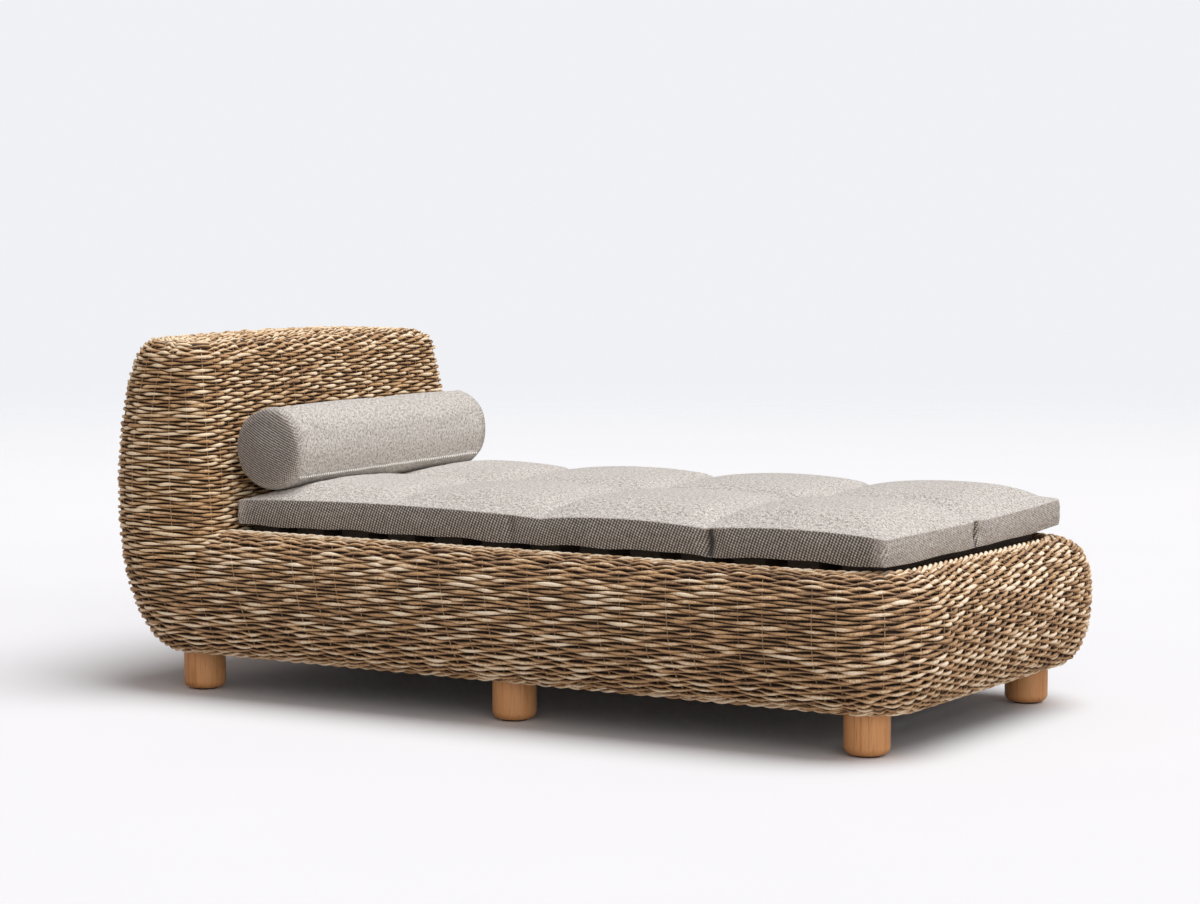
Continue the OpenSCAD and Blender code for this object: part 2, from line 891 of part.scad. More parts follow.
module headboard_formers() {
    inside = weave_t + former_gap;
    levels = concat([upper_top], head_levels);
    last = len(levels) - 1;
    color("#d3b98f")
        difference() {
            for (y = former_ys)
                translate([0, y, 0])
                    rotate([90, 0, 0])
                        linear_extrude(former_t, center = true)
                            polygon(concat(
                                [for (z = levels)
                                    [head_front(z) - inside, z - inside * edge_share(z)]],
                                [for (i = [last : -1 : 0])
                                    let (z = levels[i])
                                    [
                                        -half_l + head_in(z) + inside,
                                        z - inside * edge_share(z)
                                    ]]
                            ));
            for (p = pole_points)
                bar_y(p[0], 0, p[1], pole_d + 2 * bore_fit, 2 * half_w);
        }
}

module headboard_poles() {
    color("#cda35f")
        for (p = pole_points)
            bar_y(p[0], 0, p[1], pole_d, 2 * former_y + former_t + 2 * pole_overhang);
}

module deck_slats() {
    color("#dcc193")
        difference() {
            for (x = slat_xs)
                translate([x - slat_w / 2, -slat_half, upper_top])
                    cube([slat_w, 2 * slat_half, slat_t]);
            slat_screw_holes();
        }
}

module slat_screws() {
    color("#c2c4c6")
        at_slat_screws() wood_screw(slat_screw_l);
}

// A turned leg with a rounded foot and a hole for its bolt
module leg(p) {
    color("#a9713d")
        translate([p[0], p[1], 0])
            difference() {
                union() {
                    translate([0, 0, glide_t + leg_edge_r])
                        cylinder(d = leg_d, h = leg_top - glide_t - leg_edge_r);
                    translate([0, 0, glide_t])
                        cylinder(d = leg_d - 2 * leg_edge_r, h = leg_top - glide_t);
                    rotate_extrude()
                        translate([leg_d / 2 - leg_edge_r, glide_t + leg_edge_r])
                            circle(r = leg_edge_r);
                }
                translate([0, 0, leg_top - bolt_depth - bore_fit])
                    cylinder(d = bolt_d + 2 * bore_fit, h = bolt_depth + over);
            }
}

module leg_plates() {
    color("#9a9c9f")
        difference() {
            for (p = leg_points) {
                translate([p[0] - plate_w / 2, p[1] - plate_w / 2, leg_top])
                    cube([plate_w, plate_w, plate_t]);
                translate([p[0], p[1], leg_top])
                    cylinder(d = bush_d, h = plate_t + bush_h);
            }
            for (p = leg_points) {
                translate([p[0], p[1], leg_top - over])
                    cylinder(d = bolt_d + 2 * bore_fit, h = plate_t + bush_h + 2 * over);
                at_plate_screws(p) wood_screw_hole(short_screw_l);
            }
        }
}

module leg_plate_screws() {
    color("#c2c4c6")
        for (p = leg_points)
            at_plate_screws(p) wood_screw(short_screw_l);
}

module hanger_bolts() {
    color("#b4b6b9")
        for (p = leg_points)
            translate([p[0], p[1], leg_top - bolt_depth])
                cylinder(d = bolt_d, h = bolt_depth + plate_t + bush_h);
}

module leg_glides() {
    color("#3d3a37")
        for (p = leg_points)
            translate([p[0], p[1], 0])
                cylinder(d = glide_d, h = glide_t);
}

// Places of the mattress's columns and rows, closer together beside the channels
function spread(u) = u - channel_bias * sin(360 * u);
mat_us = concat(
    [for (k = [0 : head_cols - 1]) spread(k / head_cols) / panels_long],
    [for (i = [1 : panels_long - 1])
        for (k = [0 : panel_cols - 1]) (i + spread(k / panel_cols)) / panels_long],
    [1]
);
mat_vs = concat(
    [for (i = [0, 1]) for (k = [0 : panel_rows - 1]) (i + spread(k / panel_rows)) / 2],
    [1]
);
mat_nx = len(mat_us) - 1;
mat_ny = len(mat_vs) - 1;

function shoulder(d) = 1 - quarter(1 - min(1, d / shoulder_l), shoulder_n);
function pillow(u, n) = pow(abs(sin(180 * n * u)), channel_n);

// Height of the mattress's top: shoulders, quilted panels and the hollow under the bolster
function mat_top(u, v, x) =
    let (
        rise = shoulder(min(u, 1 - u) * mattress_l) * shoulder(min(v, 1 - v) * mattress_w),
        crown = edge_z + rise * (channel_rise + puff * pillow(u, panels_long) * pillow(v, 2)),
        d = abs(x - bolster_x)
    )
    d < hollow_r ? min(crown, bolster_z - sqrt(hollow_r * hollow_r - d * d)) : crown;

// How far the cover draws in at a share h of its edge's height, and where a channel ends
function draw_in(h, off) =
    seam_in * pow(abs(2 * h - 1), 3) + notch * pow(h, 1.5) * exp(-pow(off / notch_w, 2));
function channel_off(u, n, l) = min([for (k = [1 : n - 1]) abs(u - k / n)]) * l;

// A point of the mattress at column i and row j, at a share h of the edge's height
function mat_point(i, j, h) =
    let (
        u = mat_us[i],
        v = mat_vs[j],
        r = mattress_corner_r,
        a = max(0, 1 - min(u, 1 - u) * mattress_l / r),
        b = max(0, 1 - min(v, 1 - v) * mattress_w / r),
        end = i == 0 || i == mat_nx,
        side = j == 0 || j == mat_ny,
        in_x = r * a * (1 - sqrt(1 - b * b / 2))
            + (end ? draw_in(h, channel_off(v, 2, mattress_w)) : 0),
        in_y = r * b * (1 - sqrt(1 - a * a / 2))
            + (side ? draw_in(h, channel_off(u, panels_long, mattress_l)) : 0),
        x = mat_x0 + u * mattress_l + (u < 0.5 ? in_x : -in_x),
        y = -mat_half + v * mattress_w + (v < 0.5 ? in_y : -in_y)
    )
    [x, y, h < 1 ? mat_z + h * edge_h : mat_top(u, v, x)];

// Columns and rows round the mattress, counter-clockwise from above
mat_border = concat(
    [for (i = [0 : mat_nx - 1]) [i, 0]],
    [for (j = [0 : mat_ny - 1]) [mat_nx, j]],
    [for (i = [mat_nx : -1 : 1]) [i, mat_ny]],
    [for (j = [mat_ny : -1 : 1]) [0, j]]
);

module mattress_cover() {
    rows = mat_ny + 1;
    tops = (mat_nx + 1) * rows;
    around = len(mat_border);
    levels = len(ring_levels);
    points = concat(
        [for (i = [0 : mat_nx]) for (j = [0 : mat_ny]) mat_point(i, j, 1)],
        [for (h = ring_levels) for (b = mat_border) mat_point(b[0], b[1], h)],
        [[mat_x0 + mattress_l / 2, 0, mat_z]]
    );
    top_faces = [
        for (i = [0 : mat_nx - 1])
            for (j = [0 : mat_ny - 1])
                let (a = i * rows + j, b = a + rows)
                each [[a, a + 1, b + 1], [a, b + 1, b]]
    ];
    // Index of border point k at ring level l, where the last level is the top's own edge
    function edge_index(l, k) =
        let (b = mat_border[k % around])
        l < levels ? tops + l * around + k % around : b[0] * rows + b[1];
    side_faces = [
        for (l = [0 : levels - 1])
            for (k = [0 : around - 1])
                let (
                    a = edge_index(l, k),
                    b = edge_index(l + 1, k),
                    d = edge_index(l, k + 1),
                    e = edge_index(l + 1, k + 1)
                )
                each [[a, b, e], [a, e, d]]
    ];
    floor_faces = [
        for (k = [0 : around - 1])
            [tops + levels * around, edge_index(0, k), edge_index(0, k + 1)]
    ];
    color("#cfc8bb")
        difference() {
            polyhedron(
                points = points,
                faces = concat(top_faces, side_faces, floor_faces),
                convexity = 6
            );
            mattress_pocket(0);
        }
}

// The pocket for the foam core, or the core itself a clearance smaller
module mattress_pocket(fit) {
    wall = core_wall + fit;
    translate([mat_x0 + wall, -mat_half + wall, mat_z + core_floor + fit])
        cube([
            mattress_l - 2 * wall, mattress_w - 2 * wall,
            edge_h - core_floor - core_lid - 2 * fit
        ]);
}

module mattress_core() {
    color("#efe6c6")
        mattress_pocket(touch);
}

module mattress_zip() {
    color("#8d877c")
        translate([
            mat_x0 - touch - zip_t, -mattress_zip_l / 2, mat_z + (edge_h - zip_w) / 2
        ])
            cube([zip_t, mattress_zip_l, zip_w]);
}

// A slider and its tab, with the chain's outer face at x = 0, its middle at z = 0 and y = 0
module zip_slider() {
    translate([touch, 0, -zip_w / 2])
        cube([slider_t, slider_l, zip_w]);
    translate([touch + slider_t / 2, (slider_l - tab_w) / 2, -zip_w / 2 - tab_l])
        cube([tab_t, tab_w, tab_l + zip_w / 2]);
}

module mattress_zip_slider() {
    color("#6f6b64")
        translate([mat_x0 - touch - zip_t, -mattress_zip_l / 2, mat_z + edge_h / 2])
            mirror([1, 0, 0])
                zip_slider();
}

// A bolster form, drawn in all round
module bolster_form(inset) {
    r = bolster_r - inset;
    half = bolster_l / 2 - inset;
    e = bolster_end_r - inset;
    translate([bolster_x, bolster_off, bolster_z])
        rotate([90, 0, 0])
            rotate_extrude()
                union() {
                    translate([0, -half + e])
                        square([r, 2 * (half - e)]);
                    translate([0, -half])
                        square([r - e, 2 * half]);
                    for (s = [-1, 1])
                        translate([r - e, s * (half - e)])
                            circle(r = e);
                }
}

// Children drawn with +X out of the bolster's surface at an angle round it
module at_bolster(a) {
    translate([bolster_x, bolster_off, bolster_z])
        rotate([0, -a, 0])
            translate([bolster_r, 0, 0])
                children();
}

module seam_bar(d) {
    at_bolster(seam_a)
        bar_y(seam_proud - seam_d / 2, 0, 0, d, bolster_l - 2 * (bolster_end_r + seam_margin));
}

module bolster_cover() {
    color("#c6bfb1")
        difference() {
            bolster_form(0);
            bolster_form(cover_t);
            seam_bar(seam_d + 2 * touch);
        }
}

module bolster_core() {
    color("#f2ecdc")
        bolster_form(cover_t + touch);
}

module bolster_seam() {
    color("#b8b0a1")
        seam_bar(seam_d);
}

module bolster_zip() {
    color("#8d877c")
        at_bolster(bolster_zip_a)
            translate([touch, -bolster_zip_l / 2, -zip_w / 2])
                cube([zip_t, bolster_zip_l, zip_w]);
}

module bolster_zip_slider() {
    color("#6f6b64")
        at_bolster(bolster_zip_a)
            translate([touch + zip_t, -bolster_zip_l / 2, 0])
                mirror([0, 0, 1])
                    zip_slider();
}

base_weave();
headboard_weave();
rim_rope();
skirt_rope();
lower_side_rail(-1);  // lower_side_rail_right
lower_side_rail(1);  // lower_side_rail_left
cross_rail(low_head_out_x, lower_z);  // lower_head_rail
cross_rail(leg_mid_x - rail_w / 2, lower_z);  // lower_mid_rail
cross_rail(foot_in_x, lower_z);  // lower_foot_rail
upper_side_rail(-1);  // upper_side_rail_right
upper_side_rail(1);  // upper_side_rail_left
cross_rail(up_head_out_x, upper_z);  // upper_head_rail
cross_rail(sill_out_x, upper_z);  // upper_sill_rail
cross_rail(foot_in_x, upper_z);  // upper_foot_rail
spine_beam();
spine_support();
frame_posts();
post_dowels();
side_ribs(-1);  // side_ribs_right
side_ribs(1);  // side_ribs_left
foot_ribs();
head_ribs();
headboard_formers();
headboard_poles();
corner_brackets();
bracket_screws();
deck_slats();
slat_screws();
leg(leg_points[0]);  // leg_head_right
leg(leg_points[1]);  // leg_head_left
leg(leg_points[2]);  // leg_mid_right
leg(leg_points[3]);  // leg_mid_left
leg(leg_points[4]);  // leg_foot_right
leg(leg_points[5]);  // leg_foot_left
leg_plates();
leg_plate_screws();
hanger_bolts();
leg_glides();
mattress_cover();
mattress_core();
mattress_zip();
mattress_zip_slider();
bolster_cover();
bolster_core();
bolster_seam();
bolster_zip();
bolster_zip_slider();
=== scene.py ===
"""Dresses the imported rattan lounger: woven strands, quilted cushions, timber, metal and a stage.

Sizes are in metres in the frame of the construction model: +X from the headboard to the
foot, +Y to the left side, +Z up, and the floor at z = 0.
"""

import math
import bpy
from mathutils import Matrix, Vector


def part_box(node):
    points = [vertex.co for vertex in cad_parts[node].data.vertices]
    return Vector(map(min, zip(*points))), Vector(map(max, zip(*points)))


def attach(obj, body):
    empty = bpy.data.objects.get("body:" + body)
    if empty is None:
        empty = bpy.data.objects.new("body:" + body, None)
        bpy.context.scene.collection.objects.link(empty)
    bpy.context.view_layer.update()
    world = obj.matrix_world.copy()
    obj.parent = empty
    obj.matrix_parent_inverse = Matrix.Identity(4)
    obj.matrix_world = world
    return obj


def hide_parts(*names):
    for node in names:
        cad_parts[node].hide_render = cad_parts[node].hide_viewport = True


bl_info = {
    "name": "Rattan Lounger",
    "version": (1, 0, 0),
    "blender": (4, 5, 0),
    "location": "3D View > Sidebar > Lounger",
    "description": "Weaves, upholsters and finishes a rattan sun lounger round its frame",
    "category": "Object",
}

from typing import NamedTuple

import bpy
import numpy as np
from bpy.props import FloatProperty, FloatVectorProperty, IntProperty, PointerProperty
from mathutils import Vector

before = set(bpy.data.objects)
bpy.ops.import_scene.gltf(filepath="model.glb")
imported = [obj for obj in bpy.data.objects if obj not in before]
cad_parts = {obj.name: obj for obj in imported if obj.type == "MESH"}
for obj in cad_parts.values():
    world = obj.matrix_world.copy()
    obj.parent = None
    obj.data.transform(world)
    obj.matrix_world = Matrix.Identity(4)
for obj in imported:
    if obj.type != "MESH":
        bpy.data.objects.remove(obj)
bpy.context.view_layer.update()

# Shape of the woven body, as in the construction model
HALF_L, HALF_W = 0.990, 0.510
BELLY_Z, RIM_Z, SKIRT_Z = 0.242, 0.355, 0.083
BELLY_IN, RIM_IN = 0.094, 0.075
BELLY_N, RIM_N, HEAD_N = 2.3, 2.4, 2.07
CORNER_R, LOW_SHARE, HIGH_SHARE = 0.178, 1.35, 0.6
SKIRT_A, RIM_A = math.radians(-76), math.pi / 2
HEAD_TOP, HEAD_BULGE, HEAD_UNDER, HEAD_BACK = 0.765, 0.488, 0.176, 0.084
HEAD_FACE_X, HEAD_RAKE, HEAD_TAPER, HEAD_JOIN = -0.640, 0.062, 0.052, 0.290
HEAD_EDGE_R, HEAD_FRONT_R, HEAD_REAR_R, HEAD_CROWN = 0.036, 0.060, 0.149, 0.012
HEAD_SHOULDER = HEAD_TOP - HEAD_CROWN
HEAD_FRONT_Z, HEAD_MID_Z = 0.347, 0.56
# The rope that the mattress lies within
ROPE_FOOT_X, ROPE_HALF_W, ROPE_CORNER_R, ROPE_Z = 0.9032, 0.434 - 0.011, 0.1214, 0.348

# Depths of the strands, the stakes and both sides of the dark sheet of painted shade under that surface
STRAND_IN, STAKE_IN, SHADE_SHEET_IN = 0.0071, 0.0080, (0.0134, 0.0146)
STRAND_SIDES, STAKE_SIDES, STAKE_R = 6, 4, 0.0018
# Where the stitches of the foot end start to slant, and the length over which they do
FOOT_X, FOOT_FADE = 0.80, 0.15
# How far behind the headboard's face rows, stakes, sheets of painted shade and border of the rim end,
# and where round the plan they end at the latest
ROWS_BEHIND, STAKES_BEHIND, SHADE_SHEET_BEHIND, BORDER_BEHIND, RIM_LAST = 0.035, 0.010, 0.020, 0.028, 4.95
# How far the base's full rows end below the headboard's foot, and how far the headboard's rows
# start above it, run whole above the front wall's foot and end below the shoulder
JOIN_BELOW, JOIN_ABOVE, FRONT_ABOVE, SHOULDER_BELOW = 0.0035, 0.004, 0.004, 0.0008
# Rings of rows on the headboard's top, and the stitches of the straight rows inside them
TOP_RINGS, RING_IN, CREST_STITCH = 8, 0.004, 0.035
# Rings of the stakes and the sheets of painted shade: first and last angle up the base, or height up the
# headboard's wall, round its edge and at its foot, or distance in from its shoulder, and how many
STAKE_FULL, STAKE_SHORT = (SKIRT_A, 1.53, 18), (SKIRT_A, 0.42, 12)
SHADE_SHEET_LOW, SHADE_SHEET_HIGH = (SKIRT_A, 0.44, 20), (0.40, RIM_A, 14)
STAKE_WALL, STAKE_EDGE = (HEAD_FRONT_Z, 0.70, 16), (0.712, 0.752, 6)
SHADE_SHEET_WALL, SHADE_SHEET_EDGE = (0.349, 0.715, 12), (0.722, 0.751, 6)
STAKE_FOOT, SHADE_SHEET_FOOT = (HEAD_JOIN, HEAD_FRONT_Z, 4), (0.292, 0.352, 4)
SHADE_SHEET_TOP = (0.004, 0.079, 6)
# Twisted ropes: strands' distance from the middle, their radius, length of a turn and seed
RIM_BORDER, RIM_ROPE = (0.0050, 0.0044, 0.085, 81), (0.0048, 0.0042, 0.070, 84)
SKIRT_BORDER, SKIRT_ROPE = (0.0048, 0.0036, 0.11, 87), (0.0031, 0.0028, 0.05, 90)
RIM_BORDER_IN, SKIRT_BORDER_IN, SKIRT_ROPE_IN, SKIRT_ROPE_CORNER_R = 0.0125, 0.0065, 0.006, 0.09
# Slow changes over the weave: step from row to row, seed, number of waves and finest wave
WANDER, SHIVER = (0.32, 7, 8, 34), (3.1, 9, 6, 30)
FIELD, FRAY = (0.30, 3, 6, 9), (2.1, 5, 8, 70)
# How far they turn the columns' swing, in radians, and how far they lift a strand
WANDER_TURN, SHIVER_TURN, FIELD_LIFT, FRAY_LIFT = 0.9, 1.5, 0.0016, 0.0010
# Ranges that each stitch's own values are drawn from: radians, metres, and shares
SPREAD = {
    "swing": (-0.8, 0.8),
    "lie": (-0.0013, 0.0013),
    "slope": (-0.0012, 0.0012),
    "depth": (-0.0010, 0.0008),
    "wide": (0.55, 1.20),
    "thick": (0.7, 1.2),
    "tone": (0.12, 0.92),
}

TAU = 2 * math.pi

# Sizes and colours that a user may change


def length_prop(name, about, default):
    """A length."""
    return FloatProperty(name=name, description=about, default=default, unit="LENGTH")


def number_prop(name, about, default):
    """A plain number."""
    return FloatProperty(name=name, description=about, default=default)


def colour_prop(name, about, default):
    """A colour."""
    return FloatVectorProperty(name=name, description=about, default=default, subtype="COLOR")


class WeaveSizes(bpy.types.PropertyGroup):
    """Sizes and colours of the weave"""

    row_pitch: length_prop("Row pitch", "Distance between woven rows, along the surface", 0.0076)
    stake_pitch: length_prop("Stake pitch", "Distance between upright stakes along the sides", 0.052)
    closer: number_prop("Closer at the ends", "How many more stakes the ends have in the same length", 0.5)
    strand_wide: length_prop("Strand width", "Half the width of a strand outside a stake", 0.0043)
    strand_thick: length_prop("Strand thickness", "Half the thickness of a strand", 0.0036)
    sway: length_prop("Sway", "How far a strand swings in and out round the stakes", 0.0041)
    slant: length_prop("Slant", "How far each stitch climbs at the foot end", 0.0013)
    samples: IntProperty(
        name="Samples", description="Rings of points on a strand for each stake it passes", default=6
    )
    straw: colour_prop("Straw", "Colour of the palest strands", (0.80, 0.66, 0.475))
    tan: colour_prop("Tan", "Colour of the common strands", (0.46, 0.285, 0.15))
    bark: colour_prop("Bark", "Colour of the darkest strands", (0.10, 0.048, 0.023))


class ClothSizes(bpy.types.PropertyGroup):
    """Sizes and colours of the cushions"""

    puff: length_prop("Puff", "Rise of each quilted panel above its channels", 0.032)
    notch: length_prop("Notch", "How far a channel draws in the edge where it ends", 0.012)
    thread: length_prop("Thread", "Pitch of the twill", 0.0067)
    pale: colour_prop("Pale yarn", "Colour of the pale yarn", (0.72, 0.69, 0.65))
    dark: colour_prop("Dark yarn", "Colour of the dark yarn", (0.33, 0.285, 0.25))


class TimberColours(bpy.types.PropertyGroup):
    """Colours of the timber"""

    leg: colour_prop("Legs", "Colour of the oiled legs", (0.73, 0.36, 0.145))
    # The rails and slats are very dark: painted shade for the slot under the mattress's edge where they
    # show
    rail: colour_prop("Rails", "Colour of the planed rails and ribs", (0.17, 0.105, 0.06))
    slat: colour_prop("Slats", "Colour of the slats", (0.065, 0.045, 0.03))


class StageLook(bpy.types.PropertyGroup):
    """Light and background"""

    key: number_prop("Key", "Strength of the soft lamp overhead", 2.50)
    fill: number_prop("Fill", "Strength of the soft lamp in front", 1.28)
    ambient: number_prop("Ambient", "Strength of the light from all round", 0.20)
    backdrop: colour_prop("Backdrop", "Colour behind the lounger", (0.872, 0.882, 0.915))


# Curves and surfaces


def quarter(t, n):
    """A quarter of a superellipse: 1 - (1 - t^n)^(1/n), 0 at t = 0 and 1 at t = 1."""
    t = np.clip(t, 0, 1)
    return 1 - np.maximum(1 - t**n, 0) ** (1 / n)


def level_z(a, t=0.0):
    """Height of the base at angle a: the belly's height plus the reach to skirt or rim times sin a."""
    return BELLY_Z + (np.where(a < 0, BELLY_Z - SKIRT_Z, RIM_Z - BELLY_Z) - t) * np.sin(a)


def level_in(a, t=0.0):
    """Draw of the base at angle a, by a superellipse of sin a."""
    low = BELLY_IN - (BELLY_IN - t) * (1 - quarter(np.abs(np.sin(a)), BELLY_N))
    high = RIM_IN - (RIM_IN - t) * (1 - quarter(np.abs(np.sin(a)), RIM_N))
    return np.where(a < 0, low, high)


def head_in(z):
    """How far the head end lies inside its bulge: superellipses below and above it."""
    low = HEAD_UNDER * quarter((HEAD_BULGE - z) / (HEAD_BULGE - SKIRT_Z), HEAD_N)
    high = HEAD_BACK * quarter((z - HEAD_BULGE) / (HEAD_TOP - HEAD_BULGE), 2)
    return np.where(z < HEAD_BULGE, low, high)


def rim_draw(z):
    """Draw of the base's sides at a height above the belly."""
    return RIM_IN * quarter((z - BELLY_Z) / (RIM_Z - BELLY_Z), RIM_N)


def edge_in(z):
    """How far the rounding of the headboard's top edge draws in at a height."""
    return HEAD_EDGE_R * quarter((z - HEAD_SHOULDER + HEAD_EDGE_R) / HEAD_EDGE_R, 2)


def plan(q, x_head, x_foot, half, r_head, r_foot, z):
    """A point at q round a plan with round corners: q counts straight runs (even) and quarter
    turns (odd) from 0 to 8, counter-clockwise from the right side's head end."""
    q, x_head, x_foot, half, r_head, r_foot, z = np.broadcast_arrays(
        np.mod(q, 8), x_head, x_foot, half, r_head, r_foot, z
    )
    cx = np.stack([x_foot - r_foot, x_foot - r_foot, x_head + r_head, x_head + r_head])
    cy = np.stack([r_foot - half, half - r_foot, half - r_head, r_head - half])
    cr = np.stack([r_foot, r_foot, r_head, r_head])
    k = np.minimum(np.floor(q).astype(int), 7)
    f, j = q - k, k // 2
    turn = k % 2 == 1

    def pick(c):
        """The value at the corner, or between the two corners of a straight run."""
        here = np.take_along_axis(c, j[None], 0)[0]
        before = np.take_along_axis(c, ((j - 1) % 4)[None], 0)[0]
        return np.where(turn, here, before + (here - before) * f)

    angle = (j - 1) * math.pi / 2 + np.where(turn, f, 0) * math.pi / 2
    r = pick(cr)
    return np.stack([pick(cx) + r * np.cos(angle), pick(cy) + r * np.sin(angle), z], -1)


def base_surface(q, a, t=0.0):
    """The base: its plan at q round, and its section at angle a from skirt to rim."""
    inset = level_in(a, t)
    r = CORNER_R - np.where(a < 0, LOW_SHARE, HIGH_SHARE) * (inset - t) - t
    x_head = -HALF_L + head_in(level_z(a)) + t
    return plan(q, x_head, HALF_L - inset, HALF_W - inset, r, r, level_z(a, t))


def head_wall(q, z, t=0.0):
    """The headboard's wall: a plan at q round whose size follows the height."""
    share = (z - HEAD_JOIN) / (HEAD_TOP - HEAD_JOIN)
    edge = edge_in(z)
    start = CORNER_R - HIGH_SHARE * rim_draw(HEAD_JOIN)
    return plan(
        q,
        -HALF_L + head_in(z) + t,
        HEAD_FACE_X - HEAD_RAKE * (z - RIM_Z) / (HEAD_TOP - RIM_Z) - edge - t,
        HALF_W - rim_draw(HEAD_JOIN) - HEAD_TAPER * share - edge - t,
        start + (HEAD_REAR_R - start) * share - edge / 2 - t,
        HEAD_FRONT_R - t,
        z,
    )


TOP_Z = HEAD_SHOULDER - 0.0006
TOP_X0 = -HALF_L + float(head_in(TOP_Z))
TOP_X1 = HEAD_FACE_X - HEAD_RAKE * (TOP_Z - RIM_Z) / (HEAD_TOP - RIM_Z) - float(edge_in(TOP_Z))
TOP_HALF = HALF_W - float(rim_draw(HEAD_JOIN)) - HEAD_TAPER - float(edge_in(TOP_Z)) + 0.001


def head_cap(q, d, t=0.0):
    """The headboard's top: its shoulder's plan drawn in by d, lifted towards the middle."""
    d = np.asarray(d, float)
    r_head = np.maximum(HEAD_REAR_R - float(edge_in(TOP_Z)) / 2 - d, 0.004)
    r_foot = np.maximum(HEAD_FRONT_R - d, 0.004)
    p = plan(q, TOP_X0 + d, TOP_X1 - d, TOP_HALF - d, r_head, r_foot, TOP_Z)
    mid, deep = (TOP_X0 + TOP_X1) / 2, (TOP_X1 - TOP_X0) / 2
    away = np.maximum(np.abs(p[..., 0] - mid) / deep, np.abs(p[..., 1]) / TOP_HALF)
    p[..., 2] += HEAD_CROWN * np.clip(1 - away**2, 0, 1) - t
    return p


def unit(v):
    """Vectors scaled to length one."""
    return v / np.maximum(np.linalg.norm(v, axis=-1, keepdims=True), 1e-12)


def along(p, closed):
    """Unit tangents of paths whose points run along the last axis but one."""
    if closed:
        return unit(np.roll(p, -1, -2) - np.roll(p, 1, -2))
    return unit(np.gradient(p, axis=-2))


def normals_of(surface, q, v, step_q=2e-3, step_v=2e-3):
    """Outward normals: the cross product of the slopes round and up the surface."""
    dq = surface(q + step_q, v) - surface(q - step_q, v)
    dv = surface(q, v + step_v) - surface(q, v - step_v)
    return unit(np.cross(dq, dv))


def run_of(p):
    """Length of a path up to each of its points."""
    return np.concatenate([[0], np.cumsum(np.linalg.norm(np.diff(p, axis=0), axis=1))])


def even_round(surface, v, count):
    """Values of q at even steps of length round the surface at v, starting at q = 0."""
    fine = np.linspace(0, 8, 4001)
    length = run_of(surface(fine, np.full_like(fine, v)))
    return np.interp(np.arange(count) / count * length[-1], length, fine)


class Lap(NamedTuple):
    """Places along a strand: q, the stakes and the length passed so far, and all the stakes."""

    q: np.ndarray
    m: np.ndarray
    run: np.ndarray
    stakes: int

    def only(self, here):
        """The places where a mask is true."""
        return Lap(self.q[here], self.m[here], self.run[here], self.stakes)


def stake_round(surface, v, size):
    """A lap of the surface at v, at even parts of the spacing of stakes that stand closer at
    the ends."""
    fine = np.linspace(0, 8, 8001)
    p = surface(fine, np.full_like(fine, v))
    step = np.diff(p, axis=0)
    length = np.linalg.norm(step, axis=1)
    weight = 1 + size.closer * (np.abs(step[:, 1]) / length) ** 2
    passed = np.concatenate([[0], np.cumsum(length * weight / size.stake_pitch)])
    stakes = 2 * round(passed[-1] / 2)
    m = np.arange(stakes * size.samples) / size.samples
    q = np.interp(m * passed[-1] / stakes, passed, fine)
    return Lap(q, m, np.interp(q, fine, run_of(p)), stakes)


def even_levels(surface, low, high, pitch, q=0.5):
    """Values of v from low to high at even steps of length up the surface at q."""
    fine = np.linspace(low, high, 801)
    length = run_of(surface(np.full_like(fine, q), fine))
    count = max(2, int(round(length[-1] / pitch)) + 1)
    return np.interp(np.linspace(0, length[-1], count), length, fine)


# Meshes


def new_piece(name, points, quads, uvs=None, tone=None, caps=None):
    """An object from points, four-sided faces and end faces, with a UV map and a tone."""
    mesh = bpy.data.meshes.new(name)
    loops = [quads.reshape(-1)]
    starts = [np.arange(len(quads)) * 4]
    if caps is not None and len(caps):
        starts.append(len(quads) * 4 + np.arange(len(caps)) * caps.shape[1])
        loops.append(caps.reshape(-1))
    loops = np.concatenate(loops).astype(np.int32)
    starts = np.concatenate(starts).astype(np.int32)
    mesh.vertices.add(len(points))
    mesh.vertices.foreach_set("co", np.ascontiguousarray(points, np.float32).reshape(-1))
    mesh.loops.add(len(loops))
    mesh.loops.foreach_set("vertex_index", loops)
    mesh.polygons.add(len(starts))
    mesh.polygons.foreach_set("loop_start", starts)
    mesh.update(calc_edges=True)
    mesh.polygons.foreach_set("use_smooth", np.ones(len(starts), bool))
    if uvs is not None:
        flat = np.zeros((len(loops), 2), np.float32)
        flat[: len(quads) * 4] = uvs.reshape(-1, 2)
        layer = mesh.uv_layers.new(name="strand")
        layer.data.foreach_set("uv", flat.reshape(-1))
    if tone is not None:
        field = mesh.attributes.new("tone", "FLOAT", "POINT")
        field.data.foreach_set("value", np.ascontiguousarray(tone, np.float32).reshape(-1))
    mesh.validate()
    piece = bpy.data.objects.new(name, mesh)
    bpy.context.scene.collection.objects.link(piece)
    return piece


def cells(grid):
    """The four corners of each cell of a grid, turning from its columns to its rows."""
    return np.stack([grid[:-1, :-1], grid[:-1, 1:], grid[1:, 1:], grid[1:, :-1]], 2)


def lapped(grid):
    """A grid of point numbers with its first column again after its last."""
    return np.concatenate([grid, grid[:, :1]], 1)


